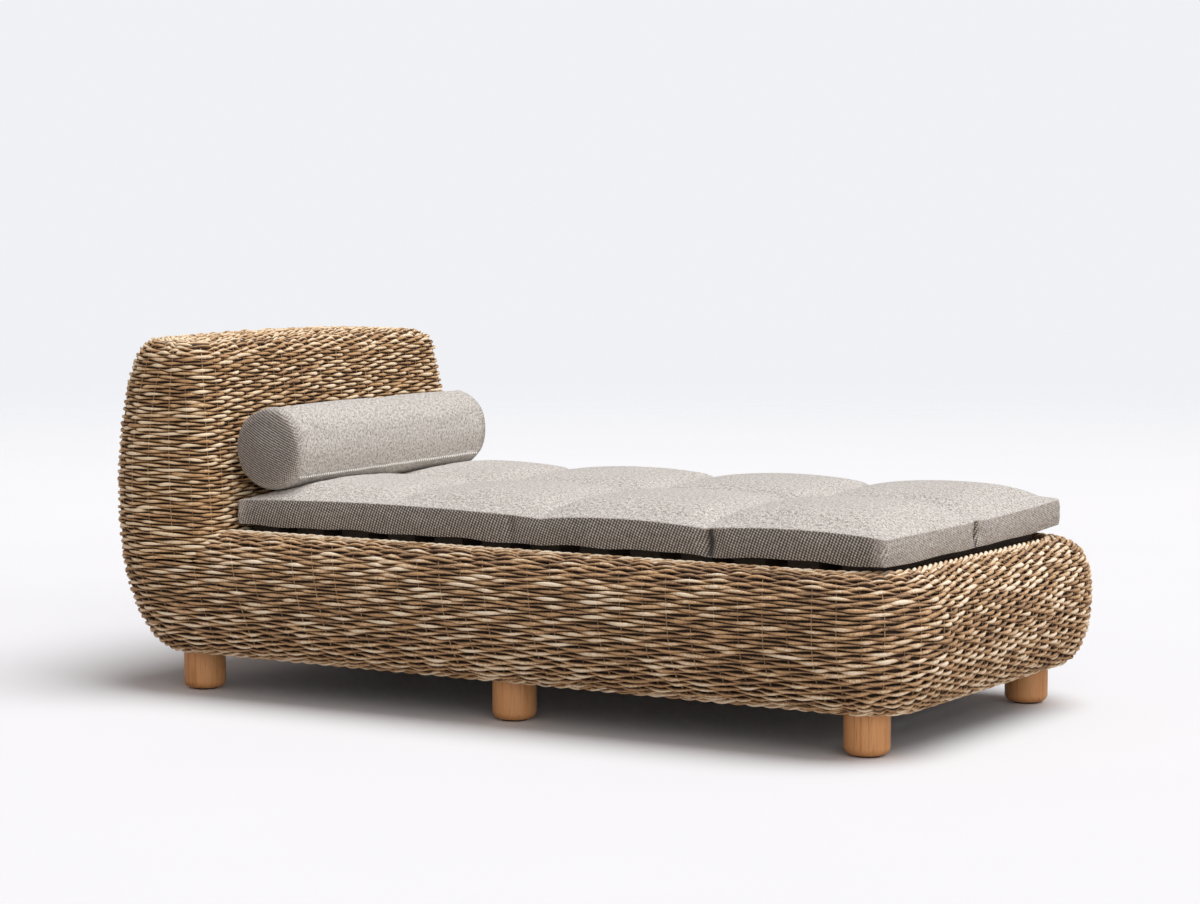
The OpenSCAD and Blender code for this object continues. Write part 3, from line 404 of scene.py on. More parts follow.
def tube_arrays(path, normal, wide, thick, sides, closed, run, tone):
    """Tubes round paths: each ring is path + normal * thick * cos + side * wide * sin.
    Returns the points, faces, UVs, tones and end faces of all the paths."""
    t = along(path, closed)
    side = unit(np.cross(normal, t))
    out = unit(np.cross(t, side))
    turn = np.arange(sides) * TAU / sides
    rings = (
        path[..., None, :]
        + out[..., None, :] * (thick[..., None] * np.cos(turn))[..., None]
        + side[..., None, :] * (wide[..., None] * np.sin(turn))[..., None]
    )
    rows, count = path.shape[:2]
    steps = count if closed else count - 1
    index = np.arange(rows * count * sides).reshape(rows, count, sides)
    wrap = np.pad(index, ((0, 0), (0, int(closed)), (0, 1)), "wrap")
    quads = np.stack([wrap[:, :-1, :-1], wrap[:, 1:, :-1], wrap[:, 1:, 1:], wrap[:, :-1, 1:]], -1)
    ends = np.concatenate([run, run[:, :1] + (run[:, 1:2] - run[:, :1]) * count], 1)
    u0 = np.broadcast_to(ends[:, :steps, None], (rows, steps, sides))
    u1 = np.broadcast_to(ends[:, 1 : steps + 1, None], (rows, steps, sides))
    v0 = np.broadcast_to(np.arange(sides) / sides, (rows, steps, sides))
    v1 = v0 + 1 / sides
    uvs = np.stack([u0, v0, u1, v0, u1, v1, u0, v1], -1).reshape(-1, 4, 2)
    caps = None if closed else np.concatenate([index[:, 0], index[:, -1, ::-1]])
    tones = np.repeat(tone[..., None], sides, -1)
    return rings.reshape(-1, 3), quads.reshape(-1, 4), uvs, tones.reshape(-1), caps


def joined(parts):
    """Several sets of tube arrays as one."""
    offset, out = 0, [[], [], [], [], []]
    for points, quads, uvs, tones, caps in parts:
        out[0].append(points)
        out[1].append(quads + offset)
        out[2].append(uvs)
        out[3].append(tones)
        if caps is not None:
            out[4].append(caps + offset)
        offset += len(points)
    caps = np.concatenate(out[4]) if out[4] else None
    return [np.concatenate(o) for o in out[:4]] + [caps]


def tube_piece(name, arrays):
    """An object from tube arrays."""
    points, quads, uvs, tones, caps = arrays
    return new_piece(name, points, quads, uvs, tones, caps)


def end_taper(count, least):
    """Shares that thin the first and last rings of an open tube."""
    return np.clip(np.minimum(np.arange(count), np.arange(count)[::-1]) / 2, least, 1)


def ripple(x, y, seed, waves, top):
    """A smooth field from -1 to 1: a mean of sines of x (whole waves round) and y."""
    rng = np.random.default_rng(seed)
    total = 0
    for _ in range(waves):
        k, m = rng.integers(1, top), rng.uniform(-0.9, 0.9)
        total = total + np.sin(TAU * k * x + m * y + rng.uniform(0, TAU))
    return total / waves


def weave_rows(surface, levels, lap, first, size, seed, closed=True):
    """Woven rows, with first other rows below them: each strand swings out and in round the
    stakes, a half turn apart from row to row, and swells to a lens where it lies outside. The
    columns wander. Every stitch has its own place, width, lie and tone, darker where it dips: painted
    shade."""
    rng = np.random.default_rng(seed)
    rows, half = len(levels), lap.stakes // 2
    number = np.arange(rows)[:, None] + first
    q = np.broadcast_to(lap.q, (rows, len(lap.m)))
    v = np.broadcast_to(np.asarray(levels, float)[:, None], q.shape)
    place = surface(q, v)
    normal = normals_of(surface, q, v)
    up = unit(np.cross(normal, along(place, closed)))
    foot = np.clip((place[..., 0] - FOOT_X) / FOOT_FADE, 0, 1)

    def drift(change):
        """One of the slow changes over all the rows."""
        return ripple(lap.m[None] / lap.stakes, number * change[0], *change[1:])

    turned = WANDER_TURN * drift(WANDER) + SHIVER_TURN * drift(SHIVER)
    beat = math.pi * (lap.m[None] + number) + turned
    stitch = np.floor((beat / math.pi + 1) / 2).astype(int) % half
    row_of = np.broadcast_to(np.arange(rows)[:, None], q.shape)

    def each(kind):
        """Each stitch's own value, at all its points."""
        return rng.uniform(*SPREAD[kind], (rows, half))[row_of, stitch]

    phase = beat + each("swing") * ((1 + np.cos(beat)) / 2)
    swell = (1 + np.cos(phase)) / 2
    field = drift(FIELD)
    lift = (
        FIELD_LIFT * field
        + FRAY_LIFT * drift(FRAY)
        + each("lie") * swell
        + (0.0003 + size.slant * foot + each("slope")) * np.sin(phase)
    )
    depth = -STRAND_IN + size.sway * np.cos(phase) + each("depth") * swell
    path = place + normal * depth[..., None] + up * lift[..., None]
    wide = size.strand_wide * (0.50 + 0.50 * swell**1.3 * each("wide")) * (1 + 0.14 * foot)
    thick = size.strand_thick * (0.62 + 0.38 * swell * each("thick"))
    if not closed:
        taper = end_taper(len(lap.m), 0.08)
        wide, thick = wide * taper, thick * taper
    batch = rng.uniform(-0.10, 0.10, (rows, 1))
    tone = each("tone") * 0.75 + 0.25 * (0.5 + 0.5 * field) + batch
    # Painted shade: the tone falls towards each dip and is palest at the crest
    tone = np.clip(tone * (0.20 + 0.80 * swell**0.8), 0, 1)
    run = lap.run[None] + rng.uniform(0, 3, (rows, 1))
    return tube_arrays(path, normal, wide, thick, STRAND_SIDES, closed, run, tone)


def stake_rows(surface, levels, stations, seed):
    """Upright stakes between the strands: thin tubes up the surface, set in behind them."""
    rng = np.random.default_rng(seed)
    one_each = (len(stations), 1)
    q = np.broadcast_to(stations[:, None], (len(stations), len(levels)))
    v = np.broadcast_to(np.asarray(levels)[None], q.shape)
    normal = normals_of(surface, q, v)
    path = surface(q, v) - normal * STAKE_IN
    radius = np.full(q.shape, STAKE_R) * rng.uniform(0.8, 1.2, one_each)
    tone = np.broadcast_to(rng.uniform(0.0, 0.30, one_each), q.shape)
    run = np.broadcast_to(np.arange(len(levels)) * 0.02, q.shape) + rng.uniform(0, 3, one_each)
    return tube_arrays(path, normal, radius, radius, STAKE_SIDES, False, run, tone)


def twist_rope(path, normal, closed, radius, strand_r, pitch, seed, strands=3):
    """Strands that spiral round a path: path + radius * (normal * cos + side * sin). The tone
    of each changes in patches along it."""
    rng = np.random.default_rng(seed)
    side = unit(np.cross(normal, along(path, closed)))
    run = run_of(path)
    whole = run[-1] + (np.linalg.norm(path[0] - path[-1]) if closed else 0)
    turns = round(whole / pitch)
    parts = []
    for k in range(strands):
        a = TAU * (run / whole * turns + k / strands)
        wobble = 1 + 0.12 * ripple(run / whole, k * 1.7, seed + k, 5, 60)
        reach = (radius * wobble)[:, None]
        p = path + (normal * np.cos(a)[:, None] + side * np.sin(a)[:, None]) * reach
        r = strand_r * (1 + 0.12 * ripple(run / whole, k * 2.3, seed + 9 + k, 5, 80))
        if not closed:
            r = r * end_taper(len(r), 0.05)
        patch = np.floor(run / 0.09 + k * 0.37).astype(int)
        tone = rng.uniform(0.3, 1, patch.max() + 1)[patch]
        strand = p[None], normal[None], r[None], r[None]
        parts.append(tube_arrays(*strand, STRAND_SIDES, closed, run[None] + k, tone[None]))
    return joined(parts)


def shell(name, surface, levels, q, closed=True):
    """A thin closed skin at the two depths of the sheets of painted shade: up its outside and down its
    inside.
    """
    out, back = SHADE_SHEET_IN
    rows = [surface(q, np.full(len(q), v), out) for v in levels]
    rows += [surface(q, np.full(len(q), v), back) for v in levels[::-1]]
    p = np.stack(rows)
    index = np.arange(p.shape[0] * p.shape[1]).reshape(p.shape[:2])
    quads = cells(np.pad(index, ((0, 1), (0, 1)), "wrap"))
    caps = None
    if not closed:
        quads = quads[:, :-1]
        caps = np.stack([index[:, 0][::-1], index[:, -1]])
    return new_piece(name, p.reshape(-1, 3), quads.reshape(-1, 4), caps=caps)


# Shader maths


class Sock:
    """A socket with operators: an expression on sockets adds its Math nodes."""

    def __init__(self, graph, socket):
        self.graph, self.socket = graph, socket

    def _math(self, kind, a, b=0.0):
        return self.graph.node("ShaderNodeMath", {"operation": kind}, {0: a, 1: b})

    def __add__(self, o):
        return self._math("ADD", self, o)

    def __radd__(self, o):
        return self._math("ADD", o, self)

    def __sub__(self, o):
        return self._math("SUBTRACT", self, o)

    def __rsub__(self, o):
        return self._math("SUBTRACT", o, self)

    def __mul__(self, o):
        return self._math("MULTIPLY", self, o)

    def __rmul__(self, o):
        return self._math("MULTIPLY", o, self)

    def __pow__(self, o):
        return self._math("POWER", self, o)

    def clamp(self):
        return self.graph.node("ShaderNodeClamp", {}, {0: self})

    def sine(self):
        return self._math("SINE", self)



class Graph:
    """The nodes of one material."""

    def __init__(self, name):
        self.material = bpy.data.materials.new(name)
        self.material.use_nodes = True
        self.tree = self.material.node_tree
        self.tree.nodes.clear()
        self.out = self.tree.nodes.new("ShaderNodeOutputMaterial")

    def node(self, kind, settings, inputs, output=0):
        """A node of a type: its settings first, then values or links of its sockets."""
        n = self.tree.nodes.new(kind)
        for key, value in settings.items():
            if key == "stops":
                ramp = n.color_ramp
                while len(ramp.elements) < len(value):
                    ramp.elements.new(0.5)
                for e, (at, colour) in zip(ramp.elements, value):
                    e.position, e.color = at, (*colour, 1)
            else:
                setattr(n, key, value)
        for key, value in inputs.items():
            socket = n.inputs[key]
            if isinstance(value, Sock):
                self.tree.links.new(value.socket, socket)
            else:
                socket.default_value = value
        return Sock(self, n.outputs[output])

    def mix(self, factor, a, b, blend="MIX"):
        """A mix of two colours."""
        n = {"data_type": "RGBA", "blend_type": blend}
        a = (*a, 1) if isinstance(a, tuple) else a
        b = (*b, 1) if isinstance(b, tuple) else b
        return self.node("ShaderNodeMix", n, {0: factor, 6: a, 7: b}, 2)

    def ramp(self, value, *stops):
        return self.node("ShaderNodeValToRGB", {"stops": stops}, {0: value})

    def smooth(self, value, low, high):
        """0 below low, 1 above high, with an eased step between."""
        return self.node(
            "ShaderNodeMapRange",
            {"interpolation_type": "SMOOTHSTEP"},
            {0: value, 1: low, 2: high, 3: 0.0, 4: 1.0},
        )

    def position(self):
        return self.node("ShaderNodeTexCoord", {}, {}, "Object")

    def uv(self):
        return self.node("ShaderNodeTexCoord", {}, {}, "UV")

    def attribute(self, name):
        return self.node("ShaderNodeAttribute", {"attribute_name": name}, {}, "Fac")

    def parts(self, vector):
        """The three coordinates of a vector."""
        n = self.node("ShaderNodeSeparateXYZ", {}, {0: vector}).socket.node
        return [Sock(self, s) for s in n.outputs]

    def vector(self, x, y, z):
        return self.node("ShaderNodeCombineXYZ", {}, {0: x, 1: y, 2: z})

    def noise(self, vector, scale=1.0, detail=2.0, rough=0.5):
        return self.node(
            "ShaderNodeTexNoise",
            {"noise_dimensions": "3D"},
            {"Vector": vector, "Scale": scale, "Detail": detail, "Roughness": rough},
        )

    def grain(self, x, y, z, detail, rough):
        """Noise in a space stretched along its three coordinates."""
        return self.noise(self.vector(x, y, z), 1.0, detail, rough)

    def surface(self, colour, rough, height=None, bump=0.001, strength=1.0, **fixed):
        """The finish: a Principled shader with a bump from a height."""
        inputs = {"Base Color": colour, "Roughness": rough}
        inputs.update({k.replace("_", " "): v for k, v in fixed.items()})
        if height is not None:
            inputs["Normal"] = self.node(
                "ShaderNodeBump", {}, {"Strength": strength, "Distance": bump, "Height": height}
            )
        shader = self.node("ShaderNodeBsdfPrincipled", {}, inputs)
        self.tree.links.new(shader.socket, self.out.inputs[0])
        return self.material


def shade(colour, share):
    """A colour made darker or paler by a share of itself."""
    return tuple(min(1.0, c * share) for c in colour)


def rattan_finish(name, weave, lift=0.0, gold=0.0, rim=0.0):
    """Dry strands: each stitch has its tone, with fibres along it, fine ticks across it, stains,
    and painted shade in the creases at its two edges. The top rows of the long sides are darker: painted
    shadow under the mattress's edge."""
    g = Graph(name)
    tone = g.attribute("tone")
    u, v, _ = g.parts(g.uv())
    fibre = g.grain(u * 30.0, v * 10.0, tone * 40.0, 3.0, 0.65)
    ticks = g.grain(u * 420.0, v * 3.0, tone * 17.0, 2.0, 0.6)
    stain = g.grain(u * 38.0, v * 1.5, tone * 31.0, 2.0, 0.6)
    patch = g.noise(g.position(), 5.0, 2.0, 0.5)
    # Painted shade in the creases at a strand's two edges, where it meets its neighbours
    edge = 0.5 - (v * (2 * TAU) + math.pi / 2).sine() * 0.5
    level = (
        tone * 0.95
        + (fibre - 0.5) * 0.60
        + (ticks - 0.5) * 0.42
        + (stain - 0.5) * 0.55
        + (patch - 0.5) * 0.22
        - edge * edge * 0.46
        + (0.215 + lift)
    )
    # Painted shadow: the top rows of the long sides darken where the mattress's edge hangs over them, less
    # towards the foot
    if rim:
        x, _, z = g.parts(g.position())
        height = g.smooth(z, RIM_Z - 0.050, RIM_Z - 0.008)
        level = level - height * (1 - g.smooth(x, 0.72, 0.92)) * rim
    straw, tan, bark = weave.straw[:], weave.tan[:], weave.bark[:]
    colour = g.ramp(
        level.clamp(),
        (0.05, bark),
        (0.24, tuple(0.6 * a + 0.4 * b for a, b in zip(bark, tan))),
        (0.42, tan),
        (0.57, (tan[0] * 1.25, tan[1] * 1.18, tan[2] * 1.02)),
        (0.74, straw),
        (0.95, tuple(min(1.0, c * 1.05 + 0.16) for c in straw)),
    )
    if gold:
        colour = g.mix(gold, colour, (0.97, 0.90, 0.76), "MULTIPLY")
    return g.surface(colour, fibre * 0.25 + 0.52, fibre + ticks * 0.6 + stain * 0.5, 0.0008, 0.8)


def dark_finish(name):
    """Painted shade behind the strands: a near-black sheet with faint mottling."""
    g = Graph(name)
    n = g.noise(g.position(), 60.0, 3.0, 0.6)
    colour = g.ramp(n, (0.3, (0.018, 0.010, 0.006)), (0.8, (0.07, 0.04, 0.022)))
    return g.surface(colour, 0.9)


def timber_finish(name, colour, axis, coarse=1.0, rough=0.5):
    """Timber with grain along an axis: fine fibres, growth lines that wander and part, pores."""
    g = Graph(name)
    colour = tuple(colour)
    places = g.parts(g.position())
    long = places.pop(axis)
    a, b = places

    def drawn(fine, slow, detail, rough):
        """Noise drawn out along the grain."""
        return g.grain(a * (fine * coarse), b * (fine * coarse), long * slow, detail, rough)

    fibre = drawn(520.0, 8.0, 3.0, 0.65)
    bend = drawn(16.0, 3.0, 2.0, 0.5)
    lines = drawn(150.0, 3.5, 3.0, 0.7)
    ring = g.smooth(lines + (bend - 0.5) * 0.35, 0.52, 0.66)
    pores = g.smooth(drawn(900.0, 30.0, 1.0, 0.4), 0.62, 0.78)
    base = g.mix(fibre, shade(colour, 0.84), shade(colour, 1.20))
    base = g.mix((bend - 0.3).clamp() * 0.5, base, shade(colour, 0.80))
    base = g.mix(ring * 0.85, base, tuple(c * k for c, k in zip(colour, (0.66, 0.56, 0.48))))
    base = g.mix(pores * 0.7, base, shade(colour, 0.42))
    return g.surface(base, fibre * 0.15 + rough, fibre - pores * 0.6 - ring * 0.2, 0.0003, 0.5)


def cloth_finish(name, cloth, lie):
    """Woven cloth: slubs and dark flecks of the lie (how many a metre each way), and where the
    tone is 1, twill lines cut into dots on a darker ground. The tone paints sheen and shade: 0 gives a
    paler colour (painted sheen), 1 a darker one (painted shade), and a tone past 1 is painted shade in a
    fold."""
    g = Graph(name)
    u, v, _ = g.parts(g.uv())
    tone = g.attribute("tone")
    # flat picks the darker copy with painted shade over the paler one with painted sheen, and fold adds
    # painted shade
    flat, fold = tone.clamp(), (tone - 1).clamp()
    fleck = g.grain(u * lie[0], v * lie[1], 0.0, 2.0, 0.75)
    slub = g.grain(u * lie[1] * 0.5, v * lie[0] * 0.5, 3.0, 1.0, 0.5)
    fuzz = g.grain(u * 900.0, v * 900.0, 7.0, 1.0, 0.6)
    wave = (slub - 0.5) * 0.0022
    twill = ((u - v * 0.467 + wave) * (TAU / cloth.thread)).sine() * 0.5 + 0.5
    picks = ((v + u * 0.35) * (TAU / cloth.thread * 1.45)).sine() * 0.5 + 0.5
    wide = g.noise(g.position(), 7.0, 2.0, 0.5)
    knots = g.grain(u * lie[0] * 0.4, v * lie[1] * 0.5, 11.0, 1.0, 0.5)
    loops = (
        g.smooth(fleck, 0.36, 0.60) * 0.60
        + g.smooth(slub, 0.35, 0.65) * 0.2
        + g.smooth(knots, 0.35, 0.62) * 0.2
    )
    lines = (
        twill * 0.34 + picks * 0.20 + twill * picks * 0.30 + (fuzz - 0.5) * 0.7 + (slub - 0.5) * 0.3
    )
    pattern = loops + (lines * 1.3 - 0.12 - loops) * flat + (wide - 0.5) * 0.14
    pale, dark = cloth.pale[:], cloth.dark[:]
    # Two copies of the cloth: near is paler, with painted sheen, and deep is darker, with painted shade
    near = g.ramp(
        pattern.clamp(),
        (0.05, shade(dark, 0.70)),
        (0.45, tuple(a * 0.60 + b * 0.40 for a, b in zip(pale, dark))),
        (0.85, shade(pale, 1.14)),
    )
    deep = g.ramp(
        pattern.clamp(), (0.05, shade(dark, 0.16)), (0.42, shade(dark, 0.95)), (0.90, shade(pale, 1.02))
    )
    colour = g.mix(fold * 0.9, g.mix(flat, near, deep), shade(dark, 0.12))
    return g.surface(colour, 0.93, pattern, 0.0014, 0.9, Sheen_Weight=0.1, Sheen_Roughness=0.5)


def metal_finish(name, colour, rough):
    """Zinc plate: fine brushing and a few dull patches."""
    g = Graph(name)
    x, y, z = g.parts(g.position())
    brush = g.grain(x * 90.0, y * 1400.0, z * 1400.0, 2.0, 0.6)
    patch = g.noise(g.position(), 40.0, 2.0, 0.5)
    base = g.mix(patch, shade(colour, 0.86), colour)
    return g.surface(base, brush * 0.2 + patch * 0.12 + rough, brush, 0.0001, 0.3, Metallic=1.0)


def felt_finish(name, colour, rough):
    """Felt: small grain in colour and height."""
    g = Graph(name)
    n = g.noise(g.position(), 300.0, 3.0, 0.6)
    base = g.mix(n, shade(colour, 0.8), shade(colour, 1.15))
    return g.surface(base, n * 0.15 + rough, n, 0.0002, 0.5)


def stitch_finish(name):
    """Pale thread in dashes along Y, from a sine of the place."""
    g = Graph(name)
    _, y, _ = g.parts(g.position())
    dash = g.smooth((y * (TAU / 0.0075)).sine(), -0.35, 0.15)
    return g.surface(g.mix(dash, (0.45, 0.42, 0.38), (0.93, 0.92, 0.90)), 0.8, dash, 0.0006, 0.8)


def zip_finish(name):
    """Zip teeth along Y, from a sine of the place."""
    g = Graph(name)
    _, y, _ = g.parts(g.position())
    teeth = (y * (TAU / 0.0032)).sine() * 0.5 + 0.5
    base = g.mix(g.smooth(teeth, 0.35, 0.65), (0.16, 0.145, 0.13), (0.42, 0.39, 0.35))
    return g.surface(base, 0.55, teeth, 0.0006, 0.8)


def paper_finish(name):
    """The floor: white to the camera and warm in the light that it throws back, faded out by its
    distance from the middle, the square root of x * x + y * y."""
    g = Graph(name)
    p = g.position()
    x, y, _ = g.parts(p)
    seen = g.mix(g.noise(p, 1.3, 2.0, 0.5), (0.885, 0.895, 0.92), (0.91, 0.92, 0.945))
    camera = g.node("ShaderNodeLightPath", {}, {}, "Is Camera Ray")
    colour = g.mix(camera, (0.52, 0.47, 0.43), seen)
    paper = g.node("ShaderNodeBsdfPrincipled", {}, {"Base Color": colour, "Roughness": 0.9})
    clear = g.node("ShaderNodeBsdfTransparent", {}, {})
    fade = g.smooth((x * x + y * y) ** 0.5, 4.0, 12.0)
    both = g.node("ShaderNodeMixShader", {}, {0: fade, 1: paper, 2: clear})
    g.tree.links.new(both.socket, g.out.inputs[0])
    return g.material


def clothe(material, *pieces):
    """Puts one finish on pieces."""
    for piece in pieces:
        piece.data.materials.clear()
        piece.data.materials.append(material)


def finish_nodes(material, *nodes):
    """Puts a finish on CAD nodes."""
    for node in nodes:
        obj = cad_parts[node]
        if not obj.material_slots:
            obj.data.materials.append(material)
        for slot in obj.material_slots:
            slot.material = material


# Weave


class LOUNGER_OT_base_weave(bpy.types.Operator):
    """Weaves the base: stakes, rows over the belly and the rim, and a dark skin of painted shade behind"""

    bl_idname = "lounger.base_weave"
    bl_label = "Base weave"

    def execute(self, context):
        size = context.scene.lounger_weave
        lap = stake_round(base_surface, 0.0, size)
        x = base_surface(lap.q, np.zeros_like(lap.q))[:, 0]
        join = math.asin((HEAD_JOIN - JOIN_BELOW - BELLY_Z) / (RIM_Z - BELLY_Z))
        low = even_levels(base_surface, SKIRT_A + 0.03, join, size.row_pitch)
        high = even_levels(base_surface, join, RIM_A - 0.02, size.row_pitch)[1:]
        third = (len(low) + 2) // 3
        pieces = []
        for k in range(3):
            part = low[k * third : (k + 1) * third]
            rows = weave_rows(base_surface, part, lap, k * third, size, 11 + k)
            pieces.append(tube_piece(f"base_rows_{k + 1}", rows))
        # Above the headboard's foot the rows start and end inside it
        fore = lap.only((x > HEAD_FACE_X - ROWS_BEHIND) & (lap.q < RIM_LAST))
        rows = weave_rows(base_surface, high, fore, len(low), size, 17, False)
        pieces.append(tube_piece("base_rows_rim", rows))
        # rim=0.15 paints the shadow of the mattress's edge on the top rows of the long sides
        clothe(rattan_finish("rattan_dry", size, rim=0.15), *pieces)
        uprights = lap.q[:: size.samples]
        ahead = x[:: size.samples] > HEAD_FACE_X - STAKES_BEHIND
        full = stake_rows(base_surface, np.linspace(*STAKE_FULL), uprights[ahead], 21)
        short = stake_rows(base_surface, np.linspace(*STAKE_SHORT), uprights[~ahead], 22)
        stakes = tube_piece("base_stakes", joined([full, short]))
        clothe(rattan_finish("rattan_stakes", size), stakes)
        around = even_round(base_surface, 0.0, 240)
        bare = base_surface(around, np.zeros_like(around))[:, 0] > HEAD_FACE_X - SHADE_SHEET_BEHIND
        bare = around[bare & (around < RIM_LAST)]
        shade_sheets = [
            shell("base_shade_sheet_low", base_surface, np.linspace(*SHADE_SHEET_LOW), around),
            shell("base_shade_sheet_high", base_surface, np.linspace(*SHADE_SHEET_HIGH), bare, False),
        ]
        clothe(dark_finish("shade_behind_base"), *shade_sheets)
        for piece in (*pieces, stakes, *shade_sheets):
            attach(piece, "frame")
            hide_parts("base_weave")
        return {"FINISHED"}


def crest(y, v):
    """Straight rows on the headboard's top: y across the lounger, v from front to back."""
    y, v = np.broadcast_arrays(y, v)
    lift = HEAD_CROWN * (1 - (y / TOP_HALF) ** 2)
    return np.stack([(TOP_X0 + TOP_X1) / 2 - v, y, TOP_Z + lift], -1)


def head_skin(q, v, t=0.0):
    """The whole headboard: v is a height on the wall up to the shoulder, and past it grows with
    the distance inwards."""
    wall = head_wall(q, np.minimum(v, HEAD_SHOULDER - SHOULDER_BELOW), t)
    cap = head_cap(q, np.maximum(v - HEAD_SHOULDER, 0) + t, t)
    return np.where(np.asarray(v < HEAD_SHOULDER)[..., None], wall, cap)


def foot_rows(lap, skirts, size):
    """Rows below the front wall's foot, which run round the back from one front corner to the
    other and reach further forward the higher they lie."""
    twice = Lap(
        np.concatenate([lap.q, lap.q + 8]),
        np.arange(2 * len(lap.q)) / size.samples,
        np.concatenate([lap.run, lap.run + 2 * lap.run[-1] - lap.run[-2]]),
        lap.stakes,
    )
    parts = []
    for k, z in enumerate(skirts):
        share = (z - HEAD_JOIN) / (HEAD_FRONT_Z - HEAD_JOIN)
        turn = math.acos(min(1.0, max(0.0, share))) * 2 / math.pi
        here = (twice.q > 3 + turn - 0.12) & (twice.q < 10 - turn + 0.12)
        parts.append(weave_rows(head_wall, [z], twice.only(here), k, size, 31 + k, False))
    return joined(parts)


def crown_rows(first_ring, size):
    """Straight rows that fill the headboard's top inside its rings."""
    reach = TOP_HALF - first_ring - 0.002
    stitches = 2 * round(reach / CREST_STITCH)
    y = np.linspace(-reach, reach, size.samples * stitches + 1)
    room = (TOP_X1 - TOP_X0) / 2 - first_ring - size.row_pitch * 0.8
    across = np.linspace(-room, room, 1 + round(2 * room / size.row_pitch))
    lap = Lap(y, np.arange(len(y)) / size.samples, y, stitches + 2)
    return weave_rows(crest, across, lap, 0, size, 71, False)


class LOUNGER_OT_headboard_weave(bpy.types.Operator):
    """Weaves the headboard: walls, rounded edge and domed top"""

    bl_idname = "lounger.headboard_weave"
    bl_label = "Headboard weave"

    def execute(self, context):
        size = context.scene.lounger_weave
        lap = stake_round(head_wall, HEAD_MID_Z, size)
        top = HEAD_SHOULDER - SHOULDER_BELOW
        walls = even_levels(head_wall, HEAD_JOIN + JOIN_ABOVE, top, size.row_pitch, 0.2)
        skirts = walls[walls < HEAD_FRONT_Z + FRONT_ABOVE]
        walls = walls[len(skirts) :]
        pieces = [tube_piece("headboard_rows_foot", foot_rows(lap, skirts, size))]
        half = (len(walls) + 1) // 2
        for k in range(2):
            part = walls[k * half : (k + 1) * half]
            rows = weave_rows(head_wall, part, lap, len(skirts) + k * half, size, 41 + k)
            pieces.append(tube_piece(f"headboard_rows_{k + 1}", rows))
        rings = np.arange(1, TOP_RINGS + 1) * size.row_pitch - RING_IN
        rows = weave_rows(head_cap, rings, lap, len(walls), size, 51)
        pieces.append(tube_piece("headboard_rows_top", rows))
        uprights = lap.q[:: size.samples]
        levels = np.concatenate([np.linspace(*STAKE_WALL), np.linspace(*STAKE_EDGE)])
        behind = uprights[(uprights <= 1) | (uprights >= 4)]
        tall = stake_rows(head_wall, levels, uprights, 61)
        short = stake_rows(head_wall, np.linspace(*STAKE_FOOT), behind, 62)
        stakes = tube_piece("headboard_stakes", joined([tall, short]))
        clothe(rattan_finish("rattan_gold_stakes", size), stakes)
        pieces.append(tube_piece("headboard_rows_crown", crown_rows(rings[-1], size)))
        clothe(rattan_finish("rattan_gold", size, 0.10, 0.55), *pieces)
        around = even_round(head_wall, HEAD_MID_Z, 120)
        back = np.concatenate([around[around >= 4], around[around <= 1] + 8])
        inwards = HEAD_SHOULDER + np.linspace(*SHADE_SHEET_TOP)
        levels = np.concatenate([np.linspace(*SHADE_SHEET_WALL), np.linspace(*SHADE_SHEET_EDGE), inwards])
        shade_sheets = [
            shell("headboard_shade_sheet", head_skin, levels, around),
            shell("headboard_shade_sheet_foot", head_wall, np.linspace(*SHADE_SHEET_FOOT), back, False),
        ]
        clothe(dark_finish("shade_behind_headboard"), *shade_sheets)
        for piece in (*pieces, stakes, *shade_sheets):
            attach(piece, "frame")
            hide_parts("headboard_weave")
        return {"FINISHED"}


class LOUNGER_OT_borders(bpy.types.Operator):
    """Twists the ropes under the rim and the skirt, and the borders that finish the weave"""

    bl_idname = "lounger.borders"
    bl_label = "Ropes and borders"

    def execute(self, context):
        size = context.scene.lounger_weave
        cane = rattan_finish("cane_rope", size, 0.02)
        # The border under the mattress's edge is darker: painted shade
        rim_shaded_cane = rattan_finish("cane_rim_shaded", size, -0.12)
        rim = np.linspace(0.02, 4.98, 900)
        rim = rim[base_surface(rim, np.full_like(rim, 1.5))[:, 0] > HEAD_FACE_X - BORDER_BEHIND]
        crown = base_surface(rim, np.full_like(rim, RIM_A - 0.01), RIM_BORDER_IN)
        crown_out = normals_of(base_surface, rim, np.full_like(rim, 1.45))
        r = ROPE_CORNER_R
        inner = plan(rim, -HALF_L, ROPE_FOOT_X, ROPE_HALF_W, r, r, ROPE_Z)
        lap = even_round(base_surface, SKIRT_A, 1000)
        hem = base_surface(lap, np.full_like(lap, SKIRT_A), SKIRT_BORDER_IN)
        hem_out = normals_of(base_surface, lap, np.full_like(lap, SKIRT_A + 0.06))
        low, high = (np.array(corner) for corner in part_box("skirt_rope"))
        low, high = low + SKIRT_ROPE_IN, high - SKIRT_ROPE_IN
        r = SKIRT_ROPE_CORNER_R
        under = plan(lap, low[0], high[0], high[1], r, r, (low[2] + high[2]) / 2)
        up = np.array([[0.0, 0.0, 1.0]])
        ropes = (
            ("rim_border", "base_weave", rim_shaded_cane, crown, crown_out, False, RIM_BORDER),
            ("rim_rope_twist", "rim_rope", cane, inner, up, False, RIM_ROPE),
            ("skirt_border", "base_weave", cane, hem, hem_out, True, SKIRT_BORDER),
            ("skirt_rope_twist", "skirt_rope", cane, under, up, True, SKIRT_ROPE),
        )
        for name, node, finish, path, out, closed, twist in ropes:
            out = np.broadcast_to(out, path.shape)
            piece = tube_piece(name, twist_rope(path, out, closed, *twist))
            clothe(finish, piece)
            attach(piece, "frame")
            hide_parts(node)
        return {"FINISHED"}


# Timber and hardware


def nodes_like(*starts):
    """The CAD nodes whose names start in one of these ways."""
    return [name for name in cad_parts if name.startswith(starts)]


